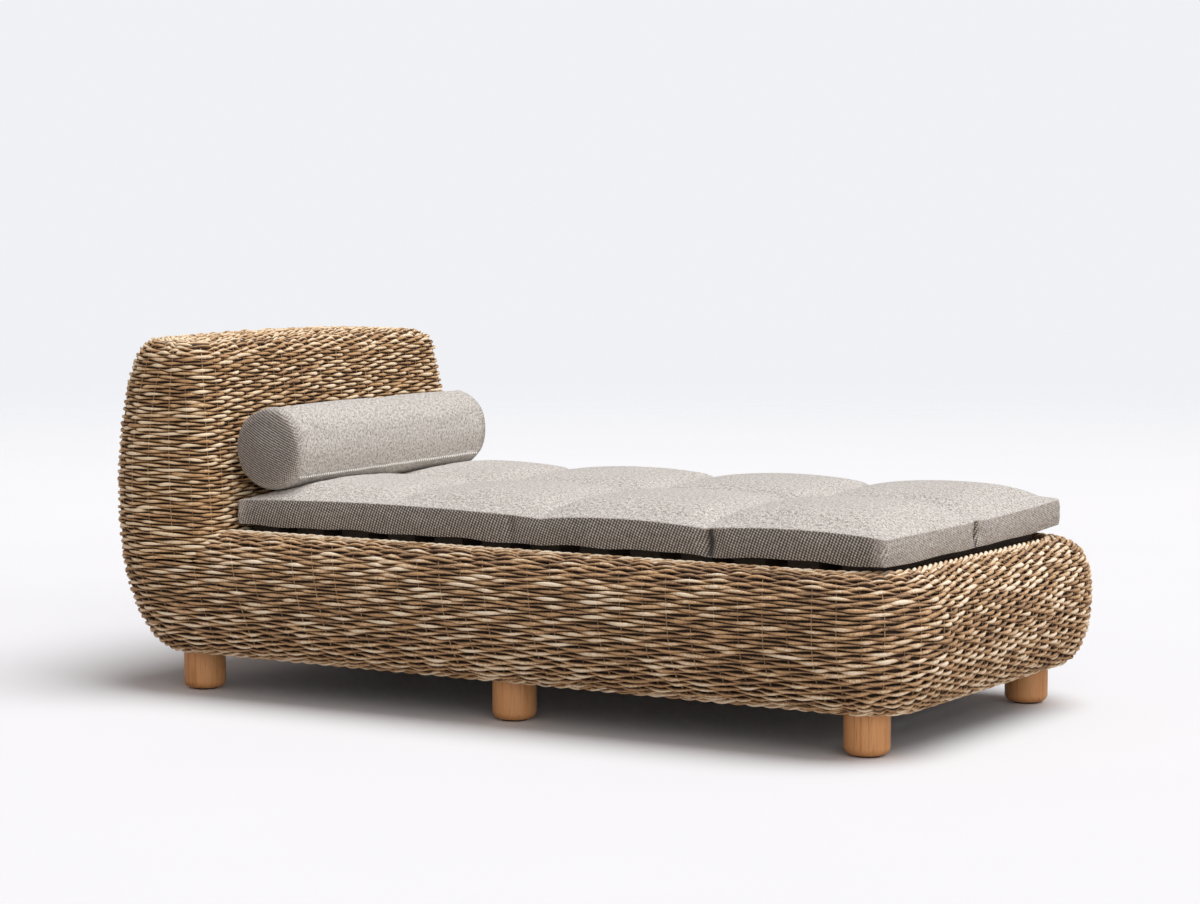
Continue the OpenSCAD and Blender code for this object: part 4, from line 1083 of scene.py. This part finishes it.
class LOUNGER_OT_frame_timber(bpy.types.Operator):
    """Finishes the rails, ribs, formers, poles and slats"""

    bl_idname = "lounger.frame_timber"
    bl_label = "Frame timber"

    def execute(self, context):
        wood = context.scene.lounger_timber
        across = nodes_like(
            "lower_head", "lower_mid", "lower_foot", "upper_head", "upper_sill", "upper_foot", "post_dowels"
        )
        long_ones = nodes_like("lower_side", "upper_side", "spine_beam")
        upright = nodes_like(
            "spine_support", "frame_posts", "headboard_formers", "foot_ribs", "head_ribs", "side_ribs"
        )
        finish_nodes(timber_finish("rail_timber_across", wood.rail, 1, 0.6, 0.62), *across)
        finish_nodes(timber_finish("rail_timber_long", wood.rail, 0, 0.6, 0.62), *long_ones)
        finish_nodes(timber_finish("rib_timber", wood.rail, 2, 0.6, 0.66), *upright)
        finish_nodes(timber_finish("slat_timber", wood.slat, 1, 0.8, 0.6), "deck_slats")
        finish_nodes(timber_finish("pole_cane", wood.slat, 1, 1.4, 0.45), "headboard_poles")
        return {"FINISHED"}


class LOUNGER_OT_legs(bpy.types.Operator):
    """Finishes the six turned legs and their glides"""

    bl_idname = "lounger.legs"
    bl_label = "Legs"

    def execute(self, context):
        wood = context.scene.lounger_timber
        legs = nodes_like("leg_head", "leg_mid", "leg_foot")
        finish_nodes(timber_finish("leg_oak", wood.leg, 2, 1.0, 0.42), *legs)
        finish_nodes(felt_finish("glide_felt", (0.05, 0.045, 0.04), 0.8), "leg_glides")
        return {"FINISHED"}


class LOUNGER_OT_hardware(bpy.types.Operator):
    """Finishes the brackets, plates, screws and bolts"""

    bl_idname = "lounger.hardware"
    bl_label = "Hardware"

    def execute(self, context):
        zinc = metal_finish("zinc_plate", (0.62, 0.63, 0.64), 0.32)
        finish_nodes(zinc, "corner_brackets", "leg_plates")
        screws = ("bracket_screws", "slat_screws", "leg_plate_screws", "hanger_bolts")
        finish_nodes(metal_finish("screw_steel", (0.66, 0.60, 0.46), 0.30), *screws)
        return {"FINISHED"}


# Cushions

MAT_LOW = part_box("mattress_cover")[0]
MAT_X0, MAT_L = MAT_LOW.x, 1.516
MAT_W, MAT_Z, MAT_EDGE = 0.834, MAT_LOW.z, 0.048
CHANNEL_RISE, SHOULDER_L, CORNER_MAT = 0.021, 0.105, 0.012
PANELS_U, PANELS_V = 4, 2
# Shares of the length at which the edge is drawn in, and the share and width of both its folds
GATHERS = (0.25, 0.456, 0.756)
WIDE_FOLD, THIN_FOLD = (0.45, 0.030), (0.75, 0.007)
# Length of the ends that is seen at a slant, the painted sheen that lightens their tone and hides the twill
# there, and painted shade and width of a fold
SLANT_L, SLANT_SHEEN, FOLD_SHADE, FOLD_SHADE_W = 0.028, 0.47, 1.2, 0.0065
# Where the underside starts to curl up, across and along, and over what length
CURL_Y, CURL_X, CURL_L = 0.372, 0.853, 0.034
# Heights of the rows of points up the boxing, and how firmly the simulation holds each
BOXING = (0.015, 0.09, 0.22, 0.36, 0.5, 0.64, 0.78, 0.91, 0.985)
BOXING_HOLD = (1.0, 0.8, 0.5, 0.3, 0.2, 0.3, 0.5, 0.8, 1.0)

BOLSTER_R, BOLSTER_L, BOLSTER_E, BOLSTER_DOME = 0.088, 0.750, 0.038, 0.007
BOLSTER_X, BOLSTER_Y, BOLSTER_Z = ((a + b) / 2 for a, b in zip(*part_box("bolster_cover")))
BOLSTER_ROUND, WELT_RINGS = 112, 240
WELT_R, WELT_ANGLES = 0.0030, (-43, -36)

# Frames of the cloth simulation and its settings
CLOTH_FRAMES = 18
CLOTH_SETTINGS = {
    "quality": 5,
    "mass": 0.3,
    "tension_stiffness": 12,
    "compression_stiffness": 12,
    "shear_stiffness": 8,
    "bending_stiffness": 0.3,
    "use_pressure": True,
    "vertex_group_mass": "held",
    "pin_stiffness": 1.0,
}


def bump(off, width):
    """A bell of height 1: e to the minus (off / width) squared."""
    return np.exp(-((off / width) ** 2))


def at_end(t):
    """Where a share is 0 or 1."""
    return (t < 1e-6) | (t > 1 - 1e-6)


def off_gather(u):
    """Distance along the mattress to the nearest gather."""
    return np.min(np.abs(u[..., None] - np.array(GATHERS)), -1) * MAT_L


def mattress_points(u, v, h, size):
    """A point of the mattress: u and v run along and across, h is the share of the edge's
    height. Its top is a shouldered crown with a puffed panel in each of 4 by 2 fields, its edge
    is drawn in at the gathers and curls up past the slats, most at the far foot corner, and
    beside each panel its top seam swells upwards."""
    r = CORNER_MAT
    a = np.maximum(0, 1 - np.minimum(u, 1 - u) * MAT_L / r)
    b = np.maximum(0, 1 - np.minimum(v, 1 - v) * MAT_W / r)
    off_v = np.abs(v - 0.5) * MAT_W

    def draw(off, deep):
        """Boxing that bulges between its seams, with a fold of two widths at each gather."""
        crease = WIDE_FOLD[0] * bump(off, WIDE_FOLD[1]) + THIN_FOLD[0] * bump(off, THIN_FOLD[1])
        bow = 0.003 * np.abs(2 * h - 1) ** 2.5
        return bow + size.notch * deep * (0.35 + 0.65 * np.sin(math.pi * np.clip(h, 0, 1))) * crease

    def shoulder(d):
        """The crown's rise from an edge: a power of a quarter sine."""
        return np.sin(math.pi / 2 * np.minimum(1, d / SHOULDER_L)) ** 0.8

    # The folds grow deeper towards the foot
    deep_u = 0.12 + 0.33 * (u > 0.35) + 0.55 * (u > 0.6)
    in_x = r * a * (1 - np.sqrt(1 - b * b / 2)) + np.where(at_end(u), draw(off_v, 1.3 * (u > 0.5)), 0)
    in_y = r * b * (1 - np.sqrt(1 - a * a / 2)) + np.where(at_end(v), draw(off_gather(u), deep_u), 0)
    # The foot end lies over the rim, and the head end's corners run out behind the bolster
    longer = 0.011 * np.clip((u - 0.8) * 5, 0, 1) - 0.008 * (u < 0.02) * np.clip(off_v * 20 - 6.2, 0, 1)
    x = MAT_X0 + u * MAT_L + np.where(u < 0.5, in_x, -in_x) + longer
    y = -MAT_W / 2 + v * MAT_W + np.where(v < 0.5, in_y, -in_y)

    rise = shoulder(np.minimum(u, 1 - u) * MAT_L) * shoulder(np.minimum(v, 1 - v) * MAT_W)
    puffs = np.abs(np.sin(math.pi * PANELS_U * u)) ** 0.45
    puffs = puffs * np.abs(np.sin(math.pi * PANELS_V * v)) ** 0.5
    panel = np.abs(np.sin(math.pi * np.where(u < 0.5, 2, 4) * u)) ** 0.7
    corner = np.clip((u - 0.78) / 0.22, 0, 1) * np.clip((v - 0.5) * 2, 0, 1) ** 1.5
    seam = 0.004 + 0.011 * panel + 0.011 * corner
    crown = CHANNEL_RISE + size.puff * puffs * (0.70 + 0.30 * u)
    top = MAT_Z + MAT_EDGE + seam + rise * (crown - seam)

    # The bolster lies in a round hollow, and the top slopes down to it from both sides
    gap = BOLSTER_R + 0.003
    d = np.abs(x - BOLSTER_X)
    hollow = BOLSTER_Z - np.sqrt(np.maximum(gap**2 - d**2, 0))
    pressed = BOLSTER_Z - BOLSTER_R + 0.005 + 0.22 * d
    top = np.minimum(top, np.where(d < gap, np.minimum(hollow, pressed), pressed))

    past = np.clip((np.maximum(np.abs(y) - CURL_Y, x - CURL_X)) / CURL_L, 0, 1)
    middle = bump(off_v, 0.05) * (x > 0.8)
    waves = 0.0014 * np.sin(u * 37 + 1.0) + 0.0012 * np.sin(u * 71 + v * 19)
    curl = -0.0004 + 0.004 * panel + 0.009 * corner + 0.002 * middle + waves
    curl = curl * past**2 * (3 - 2 * past)
    z = np.where(h < 1, MAT_Z + curl + h * (MAT_EDGE + seam - curl), top)
    return np.stack([x, y, z], -1)


def border_of(nu, nv):
    """Grid places round the edge of a grid, counter-clockwise from above."""
    i = np.concatenate([np.arange(nu), np.full(nv, nu), np.arange(nu, 0, -1), np.zeros(nv, int)])
    j = np.concatenate([np.zeros(nu, int), np.arange(nv), np.full(nu, nv), np.arange(nv, 0, -1)])
    return i, j


def puff_out(piece, hold, pressure, cap, grow):
    """Lets the cover swell and wrinkle as cloth: held points stay, and no point moves past cap."""
    mesh = piece.data
    count = len(mesh.vertices)
    before = np.empty(count * 3, np.float32)
    mesh.vertices.foreach_get("co", before)
    group = piece.vertex_groups.new(name="held")
    for weight in np.unique(np.round(hold, 1)):
        if weight > 0:
            group.add(np.nonzero(np.round(hold, 1) == weight)[0].tolist(), float(weight), "REPLACE")
    cloth = piece.modifiers.new("cover", "CLOTH")
    for key, value in CLOTH_SETTINGS.items():
        setattr(cloth.settings, key, value)
    cloth.settings.uniform_pressure_force = pressure
    cloth.settings.shrink_min = -grow
    cloth.settings.effector_weights.gravity = 0
    cloth.collision_settings.use_self_collision = False
    cloth.point_cache.frame_start, cloth.point_cache.frame_end = 1, CLOTH_FRAMES
    scene = bpy.context.scene
    for f in range(1, CLOTH_FRAMES + 1):
        scene.frame_set(f)
    graph = bpy.context.evaluated_depsgraph_get()
    moved = np.empty(count * 3, np.float32)
    piece.evaluated_get(graph).data.vertices.foreach_get("co", moved)
    piece.modifiers.remove(cloth)
    piece.vertex_groups.remove(group)
    scene.frame_set(1)
    step = (moved - before).reshape(-1, 3)
    length = np.linalg.norm(step, axis=1, keepdims=True)
    step *= np.minimum(1, cap / np.maximum(length, 1e-9)) * (1 - np.clip(hold, 0, 1))[:, None] ** 0.5
    mesh.vertices.foreach_set("co", (before.reshape(-1, 3) + step).reshape(-1))
    mesh.update()


def rounder(piece):
    """One level of subdivision, for a smooth cover."""
    mod = piece.modifiers.new("rounder", "SUBSURF")
    mod.levels = mod.render_levels = 1


class LOUNGER_OT_mattress(bpy.types.Operator):
    """Sews the mattress: quilted top, flat underside and a boxed edge drawn in at the channels"""

    bl_idname = "lounger.mattress"
    bl_label = "Mattress"

    def execute(self, context):
        size = context.scene.lounger_cloth
        nu, nv = 144, 80
        # Columns stand closer together beside the channels
        u, v = np.arange(nu + 1) / nu, np.arange(nv + 1) / nv
        u = u - 0.10 * np.sin(TAU * PANELS_U * u) / PANELS_U
        v = v - 0.10 * np.sin(TAU * PANELS_V * v) / PANELS_V
        gu, gv = np.meshgrid(u, v, indexing="ij")
        top = mattress_points(gu, gv, np.ones_like(gu), size)
        floor = mattress_points(gu, gv, np.zeros_like(gu), size)
        i, j = border_of(nu, nv)
        walls = np.stack([mattress_points(u[i], v[j], np.full(len(i), h), size) for h in BOXING])
        points = np.concatenate([top.reshape(-1, 3), floor.reshape(-1, 3), walls.reshape(-1, 3)])

        # Point numbers of the top, the underside and the boxing between their borders
        on_top = np.arange(gu.size).reshape(gu.shape)
        on_floor = on_top + gu.size
        on_wall = 2 * gu.size + np.arange(len(BOXING) * len(i)).reshape(len(BOXING), len(i))
        ladder = lapped(np.concatenate([on_floor[i, j][None], on_wall, on_top[i, j][None]]))
        flat = np.concatenate([cells(on_top)[..., [0, 3, 2, 1]], cells(on_floor)[..., [1, 2, 3, 0]]])
        flat = flat.reshape(-1, 4)
        edge = points[on_top[i, j]]
        run = run_of(np.concatenate([edge, edge[:1]]))
        rise = np.concatenate([[0], BOXING, [1]]) * MAT_EDGE
        boxing_uv = np.stack(np.broadcast_arrays(run, rise[:, None]), -1)
        uvs = np.concatenate([points[flat, :2], cells(boxing_uv).reshape(-1, 4, 2)])

        # The ends are seen at a slant: painted sheen there lightens the tone and hides most of the twill
        past = np.abs(walls[..., 0] - MAT_X0 - MAT_L / 2) - MAT_L / 2 + 0.030
        slanted = np.clip(past / SLANT_L, 0, 1)
        ends = at_end(u[i])
        near = np.where(ends, np.abs(v[j] - 0.5) * MAT_W, off_gather(u[i]))
        deep = np.where(ends, u[i] > 0.5, 0.35 * (u[i] > 0.35) + 0.65 * (u[i] > 0.6))
        # The tone paints light and shade: 0 on the top for its painted sheen, 0.8 underneath, and on the
        # boxing 1 for painted shade, less at the slanted ends and more in the folds
        tone = np.zeros(len(points))
        tone[on_floor.reshape(-1)] = 0.8
        shaded = deep * bump(near, FOLD_SHADE_W) * FOLD_SHADE
        tone[on_wall.reshape(-1)] = (1 - SLANT_SHEEN * slanted + shaded).reshape(-1)

        quads = np.concatenate([flat, cells(ladder).reshape(-1, 4)])
        cover = new_piece("mattress_quilt", points, quads, uvs, tone)
        # The panels are freer than their channels and the place under the bolster
        along_u = np.abs(np.sin(math.pi * PANELS_U * u))[:, None] * 1.5
        along_v = np.abs(np.sin(math.pi * PANELS_V * v))[None] * 1.5
        free = np.clip(np.minimum(along_u, along_v) * 2.2, 0, 1)
        under = np.abs(top[..., 0] - BOLSTER_X) < BOLSTER_R * 0.8
        hold = np.ones(len(points))
        hold[: gu.size] = np.where(under, 1, 1 - free).reshape(-1)
        hold[on_wall.reshape(-1)] = np.repeat(BOXING_HOLD, len(i))
        puff_out(cover, hold, pressure=1.6, cap=0.006, grow=0.018)
        clothe(cloth_finish("mattress_cloth", size, (330.0, 190.0)), cover)
        rounder(cover)
        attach(cover, "mattress")
        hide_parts("mattress_cover", "mattress_core")
        return {"FINISHED"}


def sleeve_profile():
    """Radii and places along the bolster: domed discs, rims rounded by powers of a quarter turn,
    and a straight sleeve."""
    e, half = BOLSTER_E, BOLSTER_L / 2
    turn = np.linspace(0, math.pi / 2, 11)
    rim_r = BOLSTER_R - e + e * np.sin(turn) ** 0.9
    rim_y = half - BOLSTER_DOME - (e - BOLSTER_DOME) * (1 - np.cos(turn) ** 0.9)
    disc_r = np.concatenate([[0.0005, 0.003], np.linspace(0.008, BOLSTER_R - e, 8)[:-1]])
    disc_y = half - BOLSTER_DOME * (disc_r / (BOLSTER_R - e)) ** 2
    body_y = np.linspace(half - e, -half + e, 62)[1:-1]
    body_r = np.full(len(body_y), BOLSTER_R)
    radius = np.concatenate([disc_r, rim_r, body_r, rim_r[::-1], disc_r[::-1]])
    place = np.concatenate([disc_y, rim_y, body_y, -rim_y[::-1], -disc_y[::-1]])
    return radius, place


def welt_arrays():
    """The seam's cord: a tube that lies on the sleeve and wavers a little."""
    low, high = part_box("bolster_seam")
    y = np.linspace(low.y + 0.002, high.y - 0.002, WELT_RINGS)
    angle = np.radians(np.linspace(*WELT_ANGLES, WELT_RINGS))
    out = np.stack([np.cos(angle), 0 * y, np.sin(angle)], -1)
    reach = BOLSTER_R + 0.0006 * np.sin(y * 70)
    path = np.array([BOLSTER_X, 0.0, BOLSTER_Z]) + out * reach[:, None]
    path[:, 1] = y
    r = np.full(WELT_RINGS, WELT_R) * (1 + 0.06 * np.sin(y * 190)) * end_taper(WELT_RINGS, 0.1)
    return tube_arrays(path[None], out[None], r[None], r[None], 10, False, y[None], 0 * y[None])


class LOUNGER_OT_bolster(bpy.types.Operator):
    """Sews the round bolster: cover, end discs and welt"""

    bl_idname = "lounger.bolster"
    bl_label = "Bolster"

    def execute(self, context):
        size = context.scene.lounger_cloth
        e, half = BOLSTER_E, BOLSTER_L / 2
        a = np.arange(BOLSTER_ROUND) / BOLSTER_ROUND * TAU
        radius, place = sleeve_profile()
        rr, aa = np.meshgrid(radius, a, indexing="ij")
        yy = np.broadcast_to(place[:, None], rr.shape)
        inner = np.clip((np.abs(yy) - half + e) / e, 0, 1)
        sag = 1 - 0.006 * np.cos(2 * aa) * (1 - inner)
        # Short creases run in from where the end is sewn to the sleeve
        creased = bump(half - 0.052 - np.abs(yy), 0.018)
        sag = sag - 0.012 * creased * np.clip(ripple(aa / TAU, yy * 9, 77, 6, 22), 0, 1)
        x = BOLSTER_X + rr * sag * np.cos(aa)
        z = BOLSTER_Z + rr * sag * np.sin(aa)
        points = np.stack([x, BOLSTER_Y + yy, z], -1).reshape(-1, 3)
        index = np.arange(rr.size).reshape(rr.shape)
        quads = cells(lapped(index)).reshape(-1, 4)

        # The cloth runs round the sleeve, and lies flat on the ends
        angle = np.append(a, TAU)
        round_uv = np.stack(np.broadcast_arrays(angle[None] * BOLSTER_R, place[:, None]), -1)
        flat_uv = np.stack([radius[:, None] * np.sin(angle), -radius[:, None] * np.cos(angle)], -1) * 1.25
        on_end = np.abs(place) > half - e * 0.62
        flat = (on_end[:-1] & on_end[1:])[:, None, None, None]
        uvs = np.where(flat, cells(flat_uv), cells(round_uv)).reshape(-1, 4, 2)
        # Painted shade on the ends, seen face-on: tone 1 gives them the darker twill, while the sleeve's
        # tone 0 gives it the paler colour of painted sheen
        tone = np.clip((np.abs(yy) - half + e * 1.1) / (e * 0.9), 0, 1)
        caps = np.stack([index[0], index[-1, ::-1]])
        cover = new_piece("bolster_sleeve", points, quads, uvs, tone, caps)
        # Held where the ends are sewn on, where it lies on the mattress and at its seam
        sewn = np.clip(np.abs(np.abs(yy) - half + e * 0.2) < 0.006, 0.0, 0.9).astype(float)
        low = np.clip((-np.sin(aa) - 0.55) * 4, 0, 1) * (inner < 0.5)
        back = np.clip((-np.cos(aa) - 0.80) * 6, 0, 1) * (inner < 0.5)
        seam = bump(aa - math.radians(318), 0.05) * 0.9
        hold = np.maximum.reduce([sewn, low, back, seam])
        puff_out(cover, hold.reshape(-1), pressure=1.2, cap=0.004, grow=0.015)
        clothe(cloth_finish("bolster_cloth", size, (190.0, 360.0)), cover)
        rounder(cover)
        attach(cover, "bolster")
        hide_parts("bolster_cover", "bolster_core")
        welt = tube_piece("bolster_welt", welt_arrays())
        clothe(stitch_finish("bolster_stitches"), welt)
        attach(welt, "bolster")
        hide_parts("bolster_seam")
        return {"FINISHED"}


class LOUNGER_OT_zips(bpy.types.Operator):
    """Finishes the zips of the two covers and their sliders"""

    bl_idname = "lounger.zips"
    bl_label = "Zips"

    def execute(self, context):
        finish_nodes(zip_finish("zip_chain"), "mattress_zip", "bolster_zip")
        metal = metal_finish("zip_metal", (0.42, 0.40, 0.38), 0.34)
        finish_nodes(metal, "mattress_zip_slider", "bolster_zip_slider")
        return {"FINISHED"}


# Stage

FLOOR_R, FLOOR_RINGS, FLOOR_ROUND = 14, 48, 96
# Direction, breadth in degrees and tint of the two lamps
KEY_LAMP = (0.33, 0.12, 0.94), 50, (0.99, 0.992, 1.0)
FILL_LAMP = (0.75, -0.61, 0.25), 70, (1.0, 0.99, 0.985)
# The photograph's view: place, tilt below the level and turn in degrees, and lens
CAMERA_PLACE, CAMERA_TILT, CAMERA_TURN = (3.464, -5.652, 1.051), 4.59, 31.38
LENS, SENSOR = 93.585, 36


def studio_world(look):
    """Warm light from all round, and the backdrop's colour for the rays that show it."""
    world = bpy.data.worlds.new("studio")
    world.use_nodes = True
    tree = world.node_tree
    tree.nodes.clear()
    out = tree.nodes.new("ShaderNodeOutputWorld")
    light, back = (tree.nodes.new("ShaderNodeBackground") for _ in range(2))
    light.inputs[0].default_value = (1.0, 0.86, 0.80, 1)
    light.inputs[1].default_value = look.ambient
    back.inputs[0].default_value = (*look.backdrop, 1)
    mix = tree.nodes.new("ShaderNodeMixShader")
    rays = tree.nodes.new("ShaderNodeLightPath")
    seen = rays.outputs["Is Camera Ray"]
    for ray in ("Is Glossy Ray", "Is Transmission Ray"):
        both = tree.nodes.new("ShaderNodeMath")
        both.operation = "MAXIMUM"
        tree.links.new(seen, both.inputs[0])
        tree.links.new(rays.outputs[ray], both.inputs[1])
        seen = both.outputs[0]
    tree.links.new(seen, mix.inputs[0])
    tree.links.new(light.outputs[0], mix.inputs[1])
    tree.links.new(back.outputs[0], mix.inputs[2])
    tree.links.new(mix.outputs[0], out.inputs[0])
    return world


class LOUNGER_OT_stage(bpy.types.Operator):
    """Lays the pale floor and sets the background"""

    bl_idname = "lounger.stage"
    bl_label = "Stage"

    def execute(self, context):
        # Rings of the floor stand closer together under the lounger
        ring = np.linspace(0, 1, FLOOR_RINGS + 1)[1:] ** 1.5 * FLOOR_R
        a = np.arange(FLOOR_ROUND) / FLOOR_ROUND * TAU
        rr, aa = np.meshgrid(np.concatenate([[0.02], ring]), a, indexing="ij")
        points = np.stack([rr * np.cos(aa), rr * np.sin(aa), 0 * rr], -1).reshape(-1, 3)
        index = np.arange(rr.size).reshape(rr.shape)
        quads = cells(lapped(index))[..., [0, 3, 2, 1]].reshape(-1, 4)
        floor = new_piece("floor", points, quads, caps=index[:1])
        clothe(paper_finish("floor_paper"), floor)
        context.scene.world = studio_world(context.scene.lounger_stage)
        return {"FINISHED"}


class LOUNGER_OT_camera(bpy.types.Operator):
    """Stands the camera at the photograph's angle and hangs the lamps"""

    bl_idname = "lounger.camera"
    bl_label = "Camera and lamps"

    def execute(self, context):
        scene = context.scene
        look = scene.lounger_stage
        data = bpy.data.cameras.new("camera")
        data.lens, data.sensor_width = LENS, SENSOR
        camera = bpy.data.objects.new("camera", data)
        camera.location = CAMERA_PLACE
        camera.rotation_euler = (math.radians(90 - CAMERA_TILT), 0, math.radians(CAMERA_TURN))
        scene.collection.objects.link(camera)
        scene.camera = camera
        scene.view_settings.view_transform = "Standard"
        for name, power, lamp in (("key", look.key, KEY_LAMP), ("fill", look.fill, FILL_LAMP)):
            aim, breadth, tint = lamp
            data = bpy.data.lights.new(name, "SUN")
            data.energy, data.angle, data.color = power, math.radians(breadth), tint
            hung = bpy.data.objects.new(name, data)
            hung.rotation_euler = Vector(aim).to_track_quat("Z", "Y").to_euler()
            scene.collection.objects.link(hung)
        return {"FINISHED"}


class LOUNGER_PT_panel(bpy.types.Panel):
    """The sidebar's list of steps"""

    bl_label = "Lounger"
    bl_idname = "LOUNGER_PT_panel"
    bl_space_type = "VIEW_3D"
    bl_region_type = "UI"
    bl_category = "Lounger"

    def draw(self, context):
        for step in STEPS:
            self.layout.operator(step.bl_idname)
        for group in ("lounger_weave", "lounger_cloth", "lounger_timber", "lounger_stage"):
            settings = getattr(context.scene, group)
            box = self.layout.box()
            for key in settings.bl_rna.properties.keys():
                if key not in ("rna_type", "name"):
                    box.prop(settings, key)


STEPS = (
    LOUNGER_OT_camera,
    LOUNGER_OT_stage,
    LOUNGER_OT_base_weave,
    LOUNGER_OT_headboard_weave,
    LOUNGER_OT_borders,
    LOUNGER_OT_frame_timber,
    LOUNGER_OT_legs,
    LOUNGER_OT_hardware,
    LOUNGER_OT_mattress,
    LOUNGER_OT_bolster,
    LOUNGER_OT_zips,
)
GROUPS = {
    "lounger_weave": WeaveSizes,
    "lounger_cloth": ClothSizes,
    "lounger_timber": TimberColours,
    "lounger_stage": StageLook,
}


def register():
    """Registers the classes and hangs the settings on the scene."""
    for cls in (*GROUPS.values(), *STEPS, LOUNGER_PT_panel):
        bpy.utils.register_class(cls)
    for name, group in GROUPS.items():
        setattr(bpy.types.Scene, name, PointerProperty(type=group))


def unregister():
    """Takes off what register put on."""
    for name in GROUPS:
        delattr(bpy.types.Scene, name)
    for cls in (LOUNGER_PT_panel, *STEPS[::-1], *GROUPS.values()):
        bpy.utils.unregister_class(cls)


def main():
    """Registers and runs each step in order."""
    register()
    for step in STEPS:
        group, name = step.bl_idname.split(".")
        getattr(getattr(bpy.ops, group), name)()


if __name__ == "__main__":
    main()
